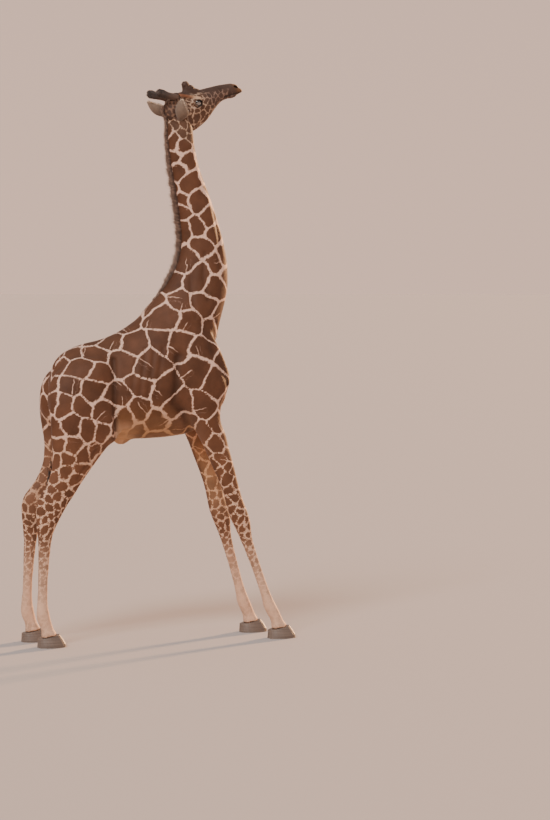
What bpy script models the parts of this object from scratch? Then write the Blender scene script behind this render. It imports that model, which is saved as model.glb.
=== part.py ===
"""A reticulated giraffe bull at life size, standing with its neck up and its muzzle raised.

Metres, +Z up. The animal looks along +X, and its right side is at -Y. The solids are made in a
working frame whose origin is on the ground under the loins, and are moved at the end so that
the origin is on the ground under the middle of the whole animal.
"""

import math
import random

import bmesh
import bpy
from mathutils import Matrix, Vector

GAP = 0.0003  # left between two solids that touch
SEED = 7

# Level of each part of the stance
BELLY_LEVEL = 1.66
LEG_TOP = 1.585  # where the legs leave the trunk
FORE_KNEE_SPLIT = 0.90  # just below the carpal joint
HOCK_SPLIT = 0.93
CORONET = 0.088  # top of the hooves

# The trunk: x, top, bottom, half width
TRUNK = [
    (-0.885, 2.14, 2.00, 0.04),
    (-0.868, 2.24, 1.88, 0.11),
    (-0.820, 2.330, 1.80, 0.178),
    (-0.730, 2.398, 1.75, 0.228),
    (-0.600, 2.448, 1.70, 0.258),
    (-0.450, 2.482, 1.67, 0.285),
    (-0.300, 2.545, BELLY_LEVEL, 0.308),
    (-0.150, 2.645, BELLY_LEVEL - 0.005, 0.320),
    (0.000, 2.775, BELLY_LEVEL, 0.318),
    (0.150, 2.845, 1.672, 0.302),
    (0.300, 2.740, 1.70, 0.272),
    (0.420, 2.560, 1.77, 0.232),
    (0.510, 2.400, 1.85, 0.185),
    (0.575, 2.280, 1.93, 0.130),
    (0.615, 2.170, 2.03, 0.045),
]
TRUNK_TAPER = 0.24  # the back is this much narrower than the middle, the belly wider

# The neck: height, x of the crest, x of the throat, half width
NECK = [
    (2.45, -0.150, 0.520, 0.215),
    (2.63, -0.150, 0.560, 0.215),
    (2.754, -0.058, 0.595, 0.198),
    (2.898, 0.078, 0.625, 0.172),
    (3.09, 0.186, 0.622, 0.148),
    (3.271, 0.222, 0.590, 0.131),
    (3.464, 0.208, 0.534, 0.119),
    (3.68, 0.176, 0.460, 0.108),
    (3.87, 0.141, 0.385, 0.099),
    (4.05, 0.116, 0.345, 0.092),
    (4.17, 0.104, 0.332, 0.088),
    (4.28, 0.108, 0.305, 0.084),
    (4.36, 0.135, 0.270, 0.066),
]
NECK_SPLIT = 3.42  # level of the cut between the neck's two lengths
NECK_FOOT = (Vector((-0.10, 0, 2.745)), Vector((0.60, 0, 2.50)))  # withers and notch of the breast
HEAD_SEAM = (Vector((0.075, 0, 4.305)), Vector((0.345, 0, 4.120)))  # nape and throat

# Fore leg: height, x, y from the middle, half depth, half width
FORE_LEG = [
    (2.66, 0.195, 0.150, 0.150, 0.055),
    (2.50, 0.235, 0.185, 0.220, 0.075),
    (2.32, 0.295, 0.205, 0.245, 0.092),
    (2.12, 0.345, 0.215, 0.242, 0.104),
    (1.95, 0.345, 0.212, 0.168, 0.104),
    (1.80, 0.376, 0.205, 0.131, 0.096),
    (1.70, 0.427, 0.200, 0.126, 0.088),
    (1.60, 0.465, 0.198, 0.110, 0.080),
    (1.45, 0.522, 0.196, 0.099, 0.072),
    (1.32, 0.568, 0.194, 0.084, 0.065),
    (1.17, 0.616, 0.193, 0.080, 0.062),
    (1.06, 0.652, 0.193, 0.088, 0.071),
    (0.98, 0.680, 0.194, 0.084, 0.070),
    (0.90, 0.704, 0.196, 0.068, 0.058),
    (0.80, 0.736, 0.198, 0.054, 0.048),
    (0.58, 0.815, 0.205, 0.046, 0.042),
    (0.38, 0.885, 0.213, 0.047, 0.043),
    (0.27, 0.925, 0.218, 0.061, 0.055),
    (0.21, 0.952, 0.221, 0.062, 0.056),
    (0.15, 0.984, 0.224, 0.057, 0.056),
    (0.10, 1.006, 0.225, 0.072, 0.070),
    (0.03, 1.022, 0.225, 0.088, 0.076),
]
# Hind leg: the same columns
HIND_LEG = [
    (2.34, -0.585, 0.130, 0.140, 0.070),
    (2.22, -0.620, 0.158, 0.215, 0.100),
    (2.08, -0.640, 0.180, 0.275, 0.118),
    (1.92, -0.640, 0.195, 0.290, 0.122),
    (1.78, -0.648, 0.200, 0.278, 0.115),
    (1.66, -0.665, 0.198, 0.252, 0.104),
    (1.56, -0.698, 0.193, 0.214, 0.090),
    (1.44, -0.746, 0.188, 0.172, 0.075),
    (1.32, -0.807, 0.184, 0.148, 0.065),
    (1.22, -0.868, 0.182, 0.148, 0.059),
    (1.14, -0.912, 0.181, 0.135, 0.058),
    (1.04, -0.941, 0.181, 0.107, 0.057),
    (0.94, -0.962, 0.182, 0.076, 0.054),
    (0.84, -0.970, 0.183, 0.059, 0.047),
    (0.60, -0.984, 0.187, 0.048, 0.041),
    (0.38, -0.992, 0.191, 0.047, 0.041),
    (0.27, -0.990, 0.193, 0.060, 0.052),
    (0.21, -0.978, 0.194, 0.061, 0.053),
    (0.15, -0.954, 0.195, 0.056, 0.054),
    (0.10, -0.936, 0.195, 0.070, 0.066),
    (0.03, -0.924, 0.195, 0.084, 0.072),
]
# How far the left legs are set forward of the right ones: height, distance
LEFT_SHIFT = {
    "fore": [(0.0, -0.112), (0.45, -0.086), (0.90, -0.058), (1.30, -0.032), (1.70, 0.0)],
    "hind": [(0.0, -0.046), (0.90, -0.034), (1.20, -0.038), (1.44, 0.008), (1.62, 0.030), (1.95, 0.0)],
}

# Muscle and bone that stand out: centre x, y, z, radii x, y, z, lean forward in degrees.
# Each is made on both sides.
MASSES = [
    ((0.470, 0.145, 2.160), (0.135, 0.110, 0.135), 0),  # point of the shoulder
    ((0.262, 0.205, 2.020), (0.165, 0.108, 0.205), 12),  # triceps
    ((0.200, 0.172, 2.480), (0.120, 0.085, 0.260), -16),  # shoulder blade
    ((-0.575, 0.165, 2.130), (0.230, 0.135, 0.210), 0),  # haunch
    ((-0.475, 0.215, 1.840), (0.132, 0.094, 0.220), -8),  # stifle
    ((-0.805, 0.135, 2.000), (0.130, 0.090, 0.240), 0),  # buttock
    ((0.490, 0.065, 2.035), (0.108, 0.092, 0.150), 10),  # breast
]
SHEATH = ((-0.285, 0.0, 1.655), (0.075, 0.034, 0.048), 0)

# The head's own frame: along it from the nape to the lips, to its left, and up
HEAD_ORIGIN = Vector((0.130, 0.0, 4.330))
HEAD_YAW = math.radians(13)  # turned to the animal's left
HEAD_PITCH = math.radians(12)  # muzzle raised
# distance along the head, top, bottom, half width, how much narrower the jaw is
SKULL = [
    (-0.045, 0.028, -0.080, 0.050, 0.10),
    (-0.018, 0.082, -0.125, 0.074, 0.12),
    (0.050, 0.116, -0.160, 0.088, 0.18),
    (0.120, 0.130, -0.186, 0.092, 0.26),
    (0.190, 0.130, -0.194, 0.092, 0.34),
    (0.260, 0.130, -0.168, 0.084, 0.36),
    (0.340, 0.134, -0.126, 0.073, 0.34),
    (0.430, 0.137, -0.050, 0.061, 0.26),
    (0.500, 0.139, -0.004, 0.054, 0.16),
    (0.570, 0.136, 0.009, 0.052, 0.08),
    (0.625, 0.131, 0.016, 0.050, 0.02),
    (0.665, 0.103, 0.026, 0.041, 0.0),
    (0.690, 0.079, 0.034, 0.028, 0.0),
    (0.706, 0.060, 0.042, 0.013, 0.0),
]
# Forms of the face: centre along, out, up, radii, and pitch in degrees. Each is on both sides.
FACE = [
    ((0.222, 0.060, 0.040), (0.070, 0.043, 0.050), 4),  # rim of the eye socket
    ((0.180, 0.052, 0.092), (0.104, 0.036, 0.026), -14),  # ridge of the brow, back to the horn
    ((0.165, 0.040, -0.085), (0.085, 0.038, 0.085), 20),  # cheek
    ((0.622, 0.026, 0.094), (0.050, 0.026, 0.033), -18),  # rim of the nostril
    ((0.664, 0.014, 0.061), (0.047, 0.034, 0.026), -14),  # upper lip
    ((0.600, 0.012, 0.026), (0.050, 0.034, 0.020), 4),  # lower lip and chin
    ((0.078, 0.046, 0.097), (0.084, 0.047, 0.044), 20),  # foot of the paired horn
]
# Along, up, and the radii along, across and up
FOREHEAD_HORN = (((0.225, 0.124), (0.096, 0.045, 0.035)), ((0.214, 0.153), (0.058, 0.040, 0.040)),
                 ((0.194, 0.190), (0.037, 0.034, 0.036)))

EYE = Vector((0.227, 0.087, 0.028))  # middle of the eyeball
EYE_RADIUS = 0.033
LID_RADII = (0.039, 0.0085)  # of the ring, and of its own thickness
LID_SQUASH = 0.80  # the opening is longer than high
LID_PROUD = 0.017  # how far out from the eyeball's middle the ring lies

HORN_BASE = Vector((0.128, 0.042, 0.080))
HORN_TIP = Vector((-0.120, 0.088, 0.182))
HORN_BEND = 0.004
HORN_RADII = [(0.0, 0.024), (0.12, 0.034), (0.35, 0.033), (0.58, 0.029), (0.75, 0.033), (0.90, 0.034),
              (1.0, 0.021)]

EAR_LENGTH = 0.195
EAR_WIDTH = 0.063  # half, at its widest
EAR_WALL = 0.007
EAR_CURVE = 0.012
EAR_FOOT = (0.044, 0.040, 0.048)  # the swelling that each ear grows from
# Each ear's root, the way it points, and the way its cup opens, as along, out and up
EARS = {
    "left": (Vector((-0.002, 0.076, -0.030)), Vector((-0.50, 0.46, 0.81)), Vector((0.98, 0.10, 0.15))),
    "right": (Vector((0.038, 0.080, -0.090)), Vector((0.13, 0.35, 0.93)), Vector((0.80, -0.55, -0.10))),
}

MOUTH_CORNER = 0.520  # along the head
MOUTH_UP = 0.034
MOUTH_SAG, MOUTH_RISE = 0.004, 0.006
MOUTH_GAP = 0.0035
NOSTRIL = Vector((0.640, 0.041, 0.094))
NOSTRIL_RADII = (0.024, 0.013, 0.009)

TAIL = [(-0.835, 2.262, 0.034), (-0.892, 2.232, 0.033), (-0.918, 2.12, 0.028), (-0.922, 1.92, 0.022),
        (-0.913, 1.72, 0.017), (-0.899, 1.54, 0.0135), (-0.882, 1.40, 0.012), (-0.868, 1.29, 0.009)]
# A lock's shape: share of its length, of its width and of its thickness
SWITCH_SHAPE = [(-0.20, 0.80, 0.9), (0.0, 1.0, 1.0), (0.45, 0.86, 0.85), (0.80, 0.50, 0.6), (1.0, 0.12, 0.3)]
SWITCH_LOCKS = 12
SWITCH_LENGTH = (0.44, 0.54)
SWITCH_WIDTH, SWITCH_THICK = 0.034, 0.013
SWITCH_LEAN = 0.08  # it hangs a little back, between the hocks
SWITCH_ROOT_SPAN = 0.14  # length of the dock that carries the long hair

MANE_SHAPE = [(-0.25, 0.82, 0.9), (0.0, 1.0, 1.0), (0.58, 0.78, 0.8), (1.0, 0.14, 0.3)]
MANE_SPACING = 0.044
MANE_WIDTH, MANE_THICK = 0.050, 0.0125
MANE_HEIGHT = 0.058
MANE_FROM, MANE_TO = 2.80, 4.25
MANE_MARGIN = 0.012  # kept from the ends of each length of neck

HOOF_LENGTH = 0.232
HOOF_WIDTH = 0.080  # of one claw
HOOF_SLOPE = 0.20  # its top rises to the front
HOOF_FORWARD = 0.018
CLEFT = 0.010

TRIANGLES = {"body": 5350, "head": 3000}

COAT = ((0.30, 0.135, 0.075), 0.75)
HORN_COAT = ((0.09, 0.06, 0.045), 0.8)
KERATIN = ((0.16, 0.12, 0.10), 0.55)
EYE_DARK = ((0.02, 0.012, 0.01), 0.08)
TAIL_HAIR = ((0.03, 0.022, 0.02), 0.6)
EAR_COAT = ((0.62, 0.50, 0.40), 0.8)


SIDES = (("right", -1), ("left", 1))


def material(name, look):
    """A Principled material of a colour and a roughness."""
    made = bpy.data.materials.get(name) or bpy.data.materials.new(name)
    made.use_nodes = True
    shader = made.node_tree.nodes["Principled BSDF"]
    shader.inputs["Base Color"].default_value = (*look[0], 1)
    shader.inputs["Roughness"].default_value = look[1]
    return made


def collection(name, shown=True):
    made = bpy.data.collections.new(name)
    bpy.context.scene.collection.children.link(made)
    made.hide_render = not shown
    return made


def mesh_object(name, bm, where):
    """The bmesh as an object, with its faces pointing out."""
    bmesh.ops.recalc_face_normals(bm, faces=bm.faces)
    data = bpy.data.meshes.new(name)
    bm.to_mesh(data)
    bm.free()
    made = bpy.data.objects.new(name, data)
    where.objects.link(made)
    return made


def settled(obj):
    """The object with its modifiers worked into its mesh."""
    graph = bpy.context.evaluated_depsgraph_get()
    data = bpy.data.meshes.new_from_object(obj.evaluated_get(graph))
    obj.modifiers.clear()
    obj.data = data
    return obj


def through(stations, between):
    """More stations, on a smooth curve through the given ones."""
    found = []
    last = len(stations) - 1
    for i in range(last):
        before, a, b, after = (stations[max(0, min(last, i + k))] for k in (-1, 0, 1, 2))
        for step in range(between):
            t = step / between
            found.append(tuple(
                0.5 * (2 * q + (r - p) * t + (2 * p - 5 * q + 4 * r - s) * t * t
                       + (3 * q - p - 3 * r + s) * t ** 3)
                for p, q, r, s in zip(before, a, b, after)))
    return found + [tuple(stations[last])]


def loft(name, rings, where):
    """A closed skin through rings of points, with both ends filled."""
    bm = bmesh.new()
    rows = [[bm.verts.new(p) for p in ring] for ring in rings]
    count = len(rings[0])
    for low, high in zip(rows, rows[1:]):
        for i in range(count):
            bm.faces.new((low[i], low[(i + 1) % count], high[(i + 1) % count], high[i]))
    bm.faces.new(rows[0])
    bm.faces.new(rows[-1])
    return mesh_object(name, bm, where)


def turn(count):
    return [2 * math.pi * i / count for i in range(count)]


def trunk_solid(where):
    rings = []
    for x, top, bottom, width in through(TRUNK, 3):
        middle, half = (top + bottom) / 2, (top - bottom) / 2
        rings.append([
            (x, width * math.cos(a) * (1 - TRUNK_TAPER * math.sin(a)), middle + half * math.sin(a))
            for a in turn(28)])
    return loft("trunk", rings, where)


def neck_solid(where, lowest=0.0):
    """The neck, which has a narrow crest behind and a rounder throat in front."""
    crest_pinch = 0.22
    rings = []
    for z, crest, throat, width in through(NECK, 3):
        if z < lowest:
            continue
        middle, half = (crest + throat) / 2, (throat - crest) / 2
        rings.append([
            (middle + half * math.cos(a), width * math.sin(a) * (1 + crest_pinch * math.cos(a)), z)
            for a in turn(24)])
    return loft("neck", rings, where)


def between(rows, at):
    """The value at a place along rows of place and value."""
    for (low, a), (high, b) in zip(rows, rows[1:]):
        if at <= high:
            return a + (b - a) * (at - low) / (high - low)
    return rows[-1][1]


def leg_stations(end, side):
    """A leg's rows, those of the left legs moved forward or back."""
    table = FORE_LEG if end == "fore" else HIND_LEG
    return [(z, x + (between(LEFT_SHIFT[end], z) if side > 0 else 0), y, depth, width)
            for z, x, y, depth, width in table]


def leg_solid(end, side, where):
    rings = []
    for z, x, y, depth, width in through(leg_stations(end, side), 2):
        rings.append([
            (x + depth * math.cos(a), side * y + width * math.sin(a), z) for a in turn(20)])
    return loft("leg", rings, where)


def ellipsoid(name, placed, radii, where, segments=20):
    """A sphere scaled to three radii and then placed by a matrix."""
    bm = bmesh.new()
    bmesh.ops.create_uvsphere(bm, u_segments=segments, v_segments=segments * 2 // 3, radius=1)
    bmesh.ops.transform(bm, matrix=placed @ Matrix.Diagonal((*radii, 1)), verts=bm.verts)
    return mesh_object(name, bm, where)


def lean(centre, degrees, base=None):
    """A place for an ellipsoid, leaned forward about the sideways axis."""
    own = Matrix.Translation(centre) @ Matrix.Rotation(math.radians(degrees), 4, "Y")
    return (base or Matrix.Identity(4)) @ own


def masses(where):
    made = []
    for (x, y, z), radii, degrees in MASSES:
        for side in (-1, 1):
            made.append(ellipsoid("mass", lean(Vector((x, side * y, z)), degrees), radii, where))
    made.append(ellipsoid("sheath", lean(Vector(SHEATH[0]), SHEATH[2]), SHEATH[1], where))
    return made


def head_frame():
    return (Matrix.Translation(HEAD_ORIGIN) @ Matrix.Rotation(HEAD_YAW, 4, "Z")
            @ Matrix.Rotation(-HEAD_PITCH, 4, "Y"))


def skull_solid(where):
    frame = head_frame()
    rings = []
    for along, top, bottom, width, pinch in through(SKULL, 3):
        middle, half = (top + bottom) / 2, (top - bottom) / 2
        ring = []
        for a in turn(24):
            narrow = 1 - pinch * max(0.0, -math.sin(a))
            ring.append(frame @ Vector((along, width * math.cos(a) * narrow, middle + half * math.sin(a))))
        rings.append(ring)
    return loft("skull", rings, where)


def forehead_horn(where):
    """The short third horn, low on the forehead: a broad foot that narrows to a blunt knob."""
    frame = head_frame()
    return [ellipsoid("forehead_horn", frame @ Matrix.Translation((along, 0, up)), radii, where, 16)
            for (along, up), radii in FOREHEAD_HORN]


def ring_around(centre, axis, radius, thick, squash, where):
    """A torus, for an eyelid, flattened in height."""
    bm = bmesh.new()
    around, across = 24, 8
    rows = []
    for a in turn(around):
        row = []
        for b in turn(across):
            out = radius + thick * math.cos(b)
            row.append(bm.verts.new((out * math.cos(a), out * math.sin(a) * squash, thick * math.sin(b))))
        rows.append(row)
    for i in range(around):
        for j in range(across):
            near, far = rows[i], rows[(i + 1) % around]
            bm.faces.new((near[j], far[j], far[(j + 1) % across], near[(j + 1) % across]))
    bmesh.ops.transform(bm, matrix=Matrix.Translation(centre) @ axis.to_4x4(), verts=bm.verts)
    return mesh_object("lid", bm, where)


def eye_axis(side):
    """Which way an eye looks: outward, a little forward and up. Its columns are length, height, out."""
    out = Vector((0.06, side * 0.98, 0.12)).normalized()
    run = Vector((1, 0, -0.10))
    length = (run - out * out.dot(run)).normalized()
    return Matrix((length, out.cross(length), out)).transposed()


def eye_centre(side):
    return Vector((EYE.x, side * EYE.y, EYE.z))


def lids(side, where):
    """The rims of both lids as one ring round the front of the eyeball."""
    frame = head_frame()
    turned = frame.to_3x3() @ eye_axis(side)
    centre = frame @ (eye_centre(side) + eye_axis(side).col[2] * LID_PROUD)
    radius, thick = LID_RADII
    return ring_around(centre, turned, radius, thick, LID_SQUASH, where)


def melt(name, pieces, voxel, rounds, triangles, where):
    """One smooth closed skin round closed pieces that overlap."""
    bm = bmesh.new()
    for piece in pieces:
        bm.from_mesh(piece.data)
        bpy.data.objects.remove(piece)
    made = mesh_object(name, bm, where)
    skin = made.modifiers.new("skin", "REMESH")
    skin.mode = "VOXEL"
    skin.voxel_size = voxel
    settled(made)
    soften = made.modifiers.new("soften", "SMOOTH")
    soften.factor = 0.5
    soften.iterations = rounds
    settled(made)
    fewer = made.modifiers.new("fewer", "DECIMATE")
    fewer.ratio = triangles / (2 * len(made.data.polygons))
    return settled(made)


def half_space_block(planes, where):
    """A large block cut back to the inner side of planes, each a point and the way out."""
    bm = bmesh.new()
    bmesh.ops.create_cube(bm, size=12)
    for point, out in planes:
        out = Vector(out).normalized()
        cut = bmesh.ops.bisect_plane(
            bm, geom=bm.verts[:] + bm.edges[:] + bm.faces[:], plane_co=Vector(point) - out * GAP / 2,
            plane_no=out, clear_outer=True)
        rim = [e for e in cut["geom_cut"] if isinstance(e, bmesh.types.BMEdge)]
        bmesh.ops.holes_fill(bm, edges=rim, sides=0)
    return mesh_object("block", bm, where)


def boolean(obj, other, operation):
    cut = obj.modifiers.new("cut", "BOOLEAN")
    cut.operation = operation
    cut.object = other
    settled(obj)
    bpy.data.objects.remove(other)
    return obj


def largest(obj):
    """The object with only its largest closed surface."""
    bm = bmesh.new()
    bm.from_mesh(obj.data)
    left, bodies = set(bm.verts), []
    while left:
        body, reached = set(), [left.pop()]
        while reached:
            v = reached.pop()
            body.add(v)
            for e in v.link_edges:
                other = e.other_vert(v)
                if other in left:
                    left.remove(other)
                    reached.append(other)
        bodies.append(body)
    bodies.sort(key=len)
    bmesh.ops.delete(bm, geom=[v for body in bodies[:-1] for v in body], context="VERTS")
    bm.to_mesh(obj.data)
    bm.free()
    return obj


def share(flesh, name, planes, where, helpers):
    """The part of the flesh that lies inside the planes, as a node of its own."""
    made = bpy.data.objects.new(name, flesh.data.copy())
    where.objects.link(made)
    return largest(boolean(made, half_space_block(planes, helpers), "INTERSECT"))


def grown(obj, where):
    """A copy that is one gap larger all round, to cut the seat of a piece."""
    made = bpy.data.objects.new(obj.name + "_seat", obj.data.copy())
    where.objects.link(made)
    bm = bmesh.new()
    bm.from_mesh(made.data)
    bm.normal_update()
    moves = []
    for v in bm.verts:
        steepest = min(v.normal.dot(face.normal) for face in v.link_faces)
        moves.append((v, v.normal * GAP * 1.5 / max(0.4, steepest)))
    for v, move in moves:
        v.co += move
    bm.to_mesh(made.data)
    bm.free()
    return made


def joined(obj, pieces, where):
    """The object with its pieces fused to it by one union."""
    group = bpy.data.collections.new("pieces")
    where.children.link(group)
    for piece in pieces:
        for old in piece.users_collection:
            old.objects.unlink(piece)
        group.objects.link(piece)
    fuse = obj.modifiers.new("fuse", "BOOLEAN")
    fuse.operation = "UNION"
    fuse.solver = "MANIFOLD"
    fuse.operand_type = "COLLECTION"
    fuse.collection = group
    settled(obj)
    for piece in pieces:
        bpy.data.objects.remove(piece)
    bpy.data.collections.remove(group)
    return largest(obj)


def crest(z):
    """Where the neck's back edge is at a height, and which way it runs."""
    rows = through(NECK, 6)
    for low, high in zip(rows, rows[1:]):
        if low[0] <= z <= high[0]:
            t = (z - low[0]) / (high[0] - low[0])
            here = Vector((low[1] + (high[1] - low[1]) * t, 0, z))
            return here, Vector((high[1] - low[1], 0, high[0] - low[0])).normalized()
    raise ValueError(z)


def mane_height(z):
    """How high the mane stands at a level: lower towards the nape and the withers."""
    share_of_neck = (z - MANE_FROM) / (MANE_TO - MANE_FROM)
    return MANE_HEIGHT * (0.55 + 0.45 * math.sin(math.pi * min(1.0, share_of_neck * 1.1 + 0.08)))


def lock(name, root, grow, flat, size, bend, shape, where):
    """A flat, tapered lock of hair: it leaves its root along grow, is wide along flat, and bends."""
    length, width, thick = size
    grow = grow.normalized()
    side = grow.cross(flat).normalized()
    flat = side.cross(grow)
    rings = []
    for t, wide, deep in shape:
        middle = root + grow * length * t + bend * length * max(0.0, t) ** 2
        w, d = width / 2 * wide, thick / 2 * deep
        rings.append([middle + flat * w, middle + side * d, middle - flat * w, middle - side * d])
    return loft(name, rings, where)


def mane(low, high, where):
    """The erect locks of one length of neck, in two staggered rows along its crest."""
    dice = random.Random(SEED)
    made = []
    z, row = MANE_FROM, 0
    while z < MANE_TO:
        here, along = crest(z)
        height = mane_height(z) * dice.uniform(0.88, 1.12)
        side = -1 if row % 2 else 1
        spread = side * 0.10 + dice.uniform(-0.10, 0.10)
        if low + MANE_MARGIN < z < high - MANE_MARGIN - height * 0.5:
            out = Vector((-along.z, 0, along.x))
            root = here - out * 0.012 + Vector((0, side * 0.0045, 0))
            grow = out + along * 0.42 + Vector((0, spread, 0))
            size = (height + 0.012, MANE_WIDTH, MANE_THICK)
            made.append(lock("mane", root, grow, along, size, along * 0.10, MANE_SHAPE, where))
        z += MANE_SPACING * along.z
        row += 1
    return made


def tail_tube(stations, where):
    """The dock of the tail: round sections square to its curve."""
    rows = through(stations, 3)
    rings = []
    for i, (x, z, radius) in enumerate(rows):
        before, after = rows[max(0, i - 1)], rows[min(len(rows) - 1, i + 1)]
        run = Vector((after[0] - before[0], 0, after[1] - before[1])).normalized()
        across = Vector((-run.z, 0, run.x))
        rings.append([Vector((x, 0, z)) + across * radius * math.cos(a) + Vector((0, radius * math.sin(a), 0))
                      for a in turn(12)])
    return loft("tail", rings, where)


def switch(where):
    """The long hair at the end of the tail: tapered locks that leave the dock all round it."""
    dice = random.Random(SEED + 1)
    rows = through(TAIL, 3)
    end = rows[-1][1]
    made = []
    for i in range(SWITCH_LOCKS):
        rise = SWITCH_ROOT_SPAN * (i + 0.5) / SWITCH_LOCKS
        level = end + 0.02 + rise
        x, _, radius = min(rows, key=lambda row: abs(row[1] - level))
        turned = i * 2.4
        out = Vector((math.cos(turned), math.sin(turned), 0))
        root = Vector((x, 0, level)) + out * radius * 0.55
        grow = Vector((-SWITCH_LEAN, 0, -1)) + out * dice.uniform(0.07, 0.11)
        length = dice.uniform(*SWITCH_LENGTH) * (1.16 - 0.3 * rise / SWITCH_ROOT_SPAN)
        flat = Vector((-out.y, out.x, 0))
        size = (length, SWITCH_WIDTH, SWITCH_THICK)
        made.append(lock("switch", root, grow, flat, size, -out * 0.085, SWITCH_SHAPE, where))
    return made


def horn(side, where):
    """A paired horn: a bony stalk with a thick, blunt end."""
    frame = head_frame()
    low = frame @ Vector((HORN_BASE.x, side * HORN_BASE.y, HORN_BASE.z))
    high = frame @ Vector((HORN_TIP.x, side * HORN_TIP.y, HORN_TIP.z))
    run = high - low
    across = run.cross(Vector((0, 1, 0))).normalized()
    other = run.cross(across).normalized()
    rings = []
    for t, radius in through(HORN_RADII, 2):
        bend = across * HORN_BEND * math.sin(math.pi * t)
        rings.append([low + run * t + bend + (across * math.cos(a) + other * math.sin(a)) * radius
                      for a in turn(14)])
    return loft("ossicone", rings, where)


def ear(name, side, where):
    """A cupped leaf, rolled into a tube at its root and open along its front."""
    frame = head_frame()
    root, grow, face = (Vector((v.x, side * v.y, v.z)) for v in EARS[name])
    grow.normalize()
    face = (face - grow * grow.dot(face)).normalized()
    across = grow.cross(face)
    # along the ear, width, half of the angle that it wraps
    profile = [(-0.05, 0.38, 2.45), (0.05, 0.50, 2.2), (0.14, 0.76, 1.85), (0.28, 0.98, 1.4),
               (0.42, 1.0, 1.2), (0.60, 0.84, 1.0), (0.78, 0.54, 0.9), (0.92, 0.24, 0.85), (1.0, 0.07, 0.8)]
    steps = 8
    bm = bmesh.new()
    rows = []
    for t, wide, wrap in profile:
        radius = EAR_WIDTH * wide / math.sin(min(wrap, math.pi / 2))
        sway = EAR_CURVE * math.sin(math.pi * max(0.0, t))
        middle = root + grow * EAR_LENGTH * t - face * sway
        row = []
        for i in range(steps + 1):
            a = wrap * (2 * i / steps - 1)
            place = middle + across * radius * math.sin(a) - face * radius * (math.cos(a) - 0.6)
            row.append(bm.verts.new(frame @ place))
        rows.append(row)
    for low, high in zip(rows, rows[1:]):
        for i in range(steps):
            bm.faces.new((low[i], low[i + 1], high[i + 1], high[i]))
    made = mesh_object("ear_" + name, bm, where)
    split = made.modifiers.new("triangles", "TRIANGULATE")
    split.quad_method = "FIXED"
    wall = made.modifiers.new("wall", "SOLIDIFY")
    wall.thickness = EAR_WALL
    wall.offset = 0
    return settled(made)


def coronet(foot):
    """The slanted plane between a foot and its hoof: a point on it and its upward normal."""
    return Vector((foot.x, foot.y, CORONET)), Vector((-HOOF_SLOPE, 0, 1)).normalized()


def claw(name, foot, outer, where):
    """One half of a hoof: straight inside, round outside, pointed at the toe, flat underneath."""
    point, up = coronet(foot)
    half = HOOF_LENGTH / 2
    arc = 12
    rings = []
    for level, size, back in ((0.0, 1.0, 0.0), (0.25, 0.985, 0.0), (0.6, 0.89, 0.010), (1.0, 0.76, 0.024)):
        middle = foot.x + HOOF_FORWARD - back
        outline = []
        for i in range(arc + 1):
            a = math.pi * i / arc
            toe = max(0.0, math.cos(a))
            width = HOOF_WIDTH * size * math.sin(a) ** 0.7 * (1 - 0.18 * toe)
            outline.append((middle + half * size * math.cos(a), CLEFT / 2 + width))
        outline += [(middle + half * size * k, CLEFT / 2) for k in (-0.4, 0.4)]
        ring = []
        for x, y in outline:
            top = point.z - (x - point.x) * up.x / up.z - GAP / 2
            ring.append(Vector((x, foot.y + outer * y, top * level)))
        rings.append(ring)
    return loft(name, rings, where)


def mouth_slit(where):
    """A thin curved sheet that parts the lips, from the corner of the mouth to past the muzzle."""
    frame = head_frame()
    reach, wide, steps = 0.22, 0.12, 8
    rings = []
    for step in range(steps + 1):
        t = step / steps
        up = MOUTH_UP + MOUTH_SAG * math.sin(math.pi * t) + MOUTH_RISE * t
        half = MOUTH_GAP / 2
        rings.append([frame @ Vector((MOUTH_CORNER + reach * t, y, up + z)) for y, z in
                      ((-wide, -half), (wide, -half), (wide, half), (-wide, half))])
    return loft("mouth", rings, where)


def nostril(side, where):
    place = lean(Vector((NOSTRIL.x, side * NOSTRIL.y, NOSTRIL.z)), 28, head_frame())
    return ellipsoid("nostril", place @ Matrix.Rotation(side * math.radians(-24), 4, "Z"),
                     NOSTRIL_RADII, where, 12)


def cut_body(flesh, head_flesh, parts, helpers):
    """Parts the flesh where a person would name its pieces, with a thin gap at each cut."""
    nape, throat = HEAD_SEAM
    head_up = Vector((nape.z - throat.z, 0, throat.x - nape.x))
    withers, notch = NECK_FOOT
    neck_up = Vector((withers.z - notch.z, 0, notch.x - withers.x))

    def level(z, up):
        return (0, 0, z), (0, 0, up)

    nodes = {
        "head": share(head_flesh, "head", [(nape, -head_up)], parts, helpers),
        "neck_upper": share(flesh, "neck_upper", [(nape, head_up), level(NECK_SPLIT, -1)], parts, helpers),
        "neck_lower": share(flesh, "neck_lower", [level(NECK_SPLIT, 1), (withers, -neck_up)], parts, helpers),
        "torso": share(flesh, "torso", [(withers, neck_up), level(LEG_TOP, -1)], parts, helpers),
    }
    for end, forward, split in (("fore", 1, FORE_KNEE_SPLIT), ("hind", -1, HOCK_SPLIT)):
        for name, side in SIDES:
            quarter = [((0, 0, 0), (-forward, 0, 0)), ((0, 0, 0), (0, -side, 0))]
            upper, lower = f"{end}_leg_{name}_upper", f"{end}_leg_{name}_lower"
            point, up = coronet(foot_of(end, side))
            high, low = [level(LEG_TOP, 1), level(split, -1)], [level(split, 1), (point, -up)]
            nodes[upper] = share(flesh, upper, quarter + high, parts, helpers)
            nodes[lower] = share(flesh, lower, quarter + low, parts, helpers)
    return nodes


def foot_of(end, side):
    """The middle of a foot on the ground."""
    _, x, y, _, _ = leg_stations(end, side)[-2]
    return Vector((x, side * y, 0))


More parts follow.
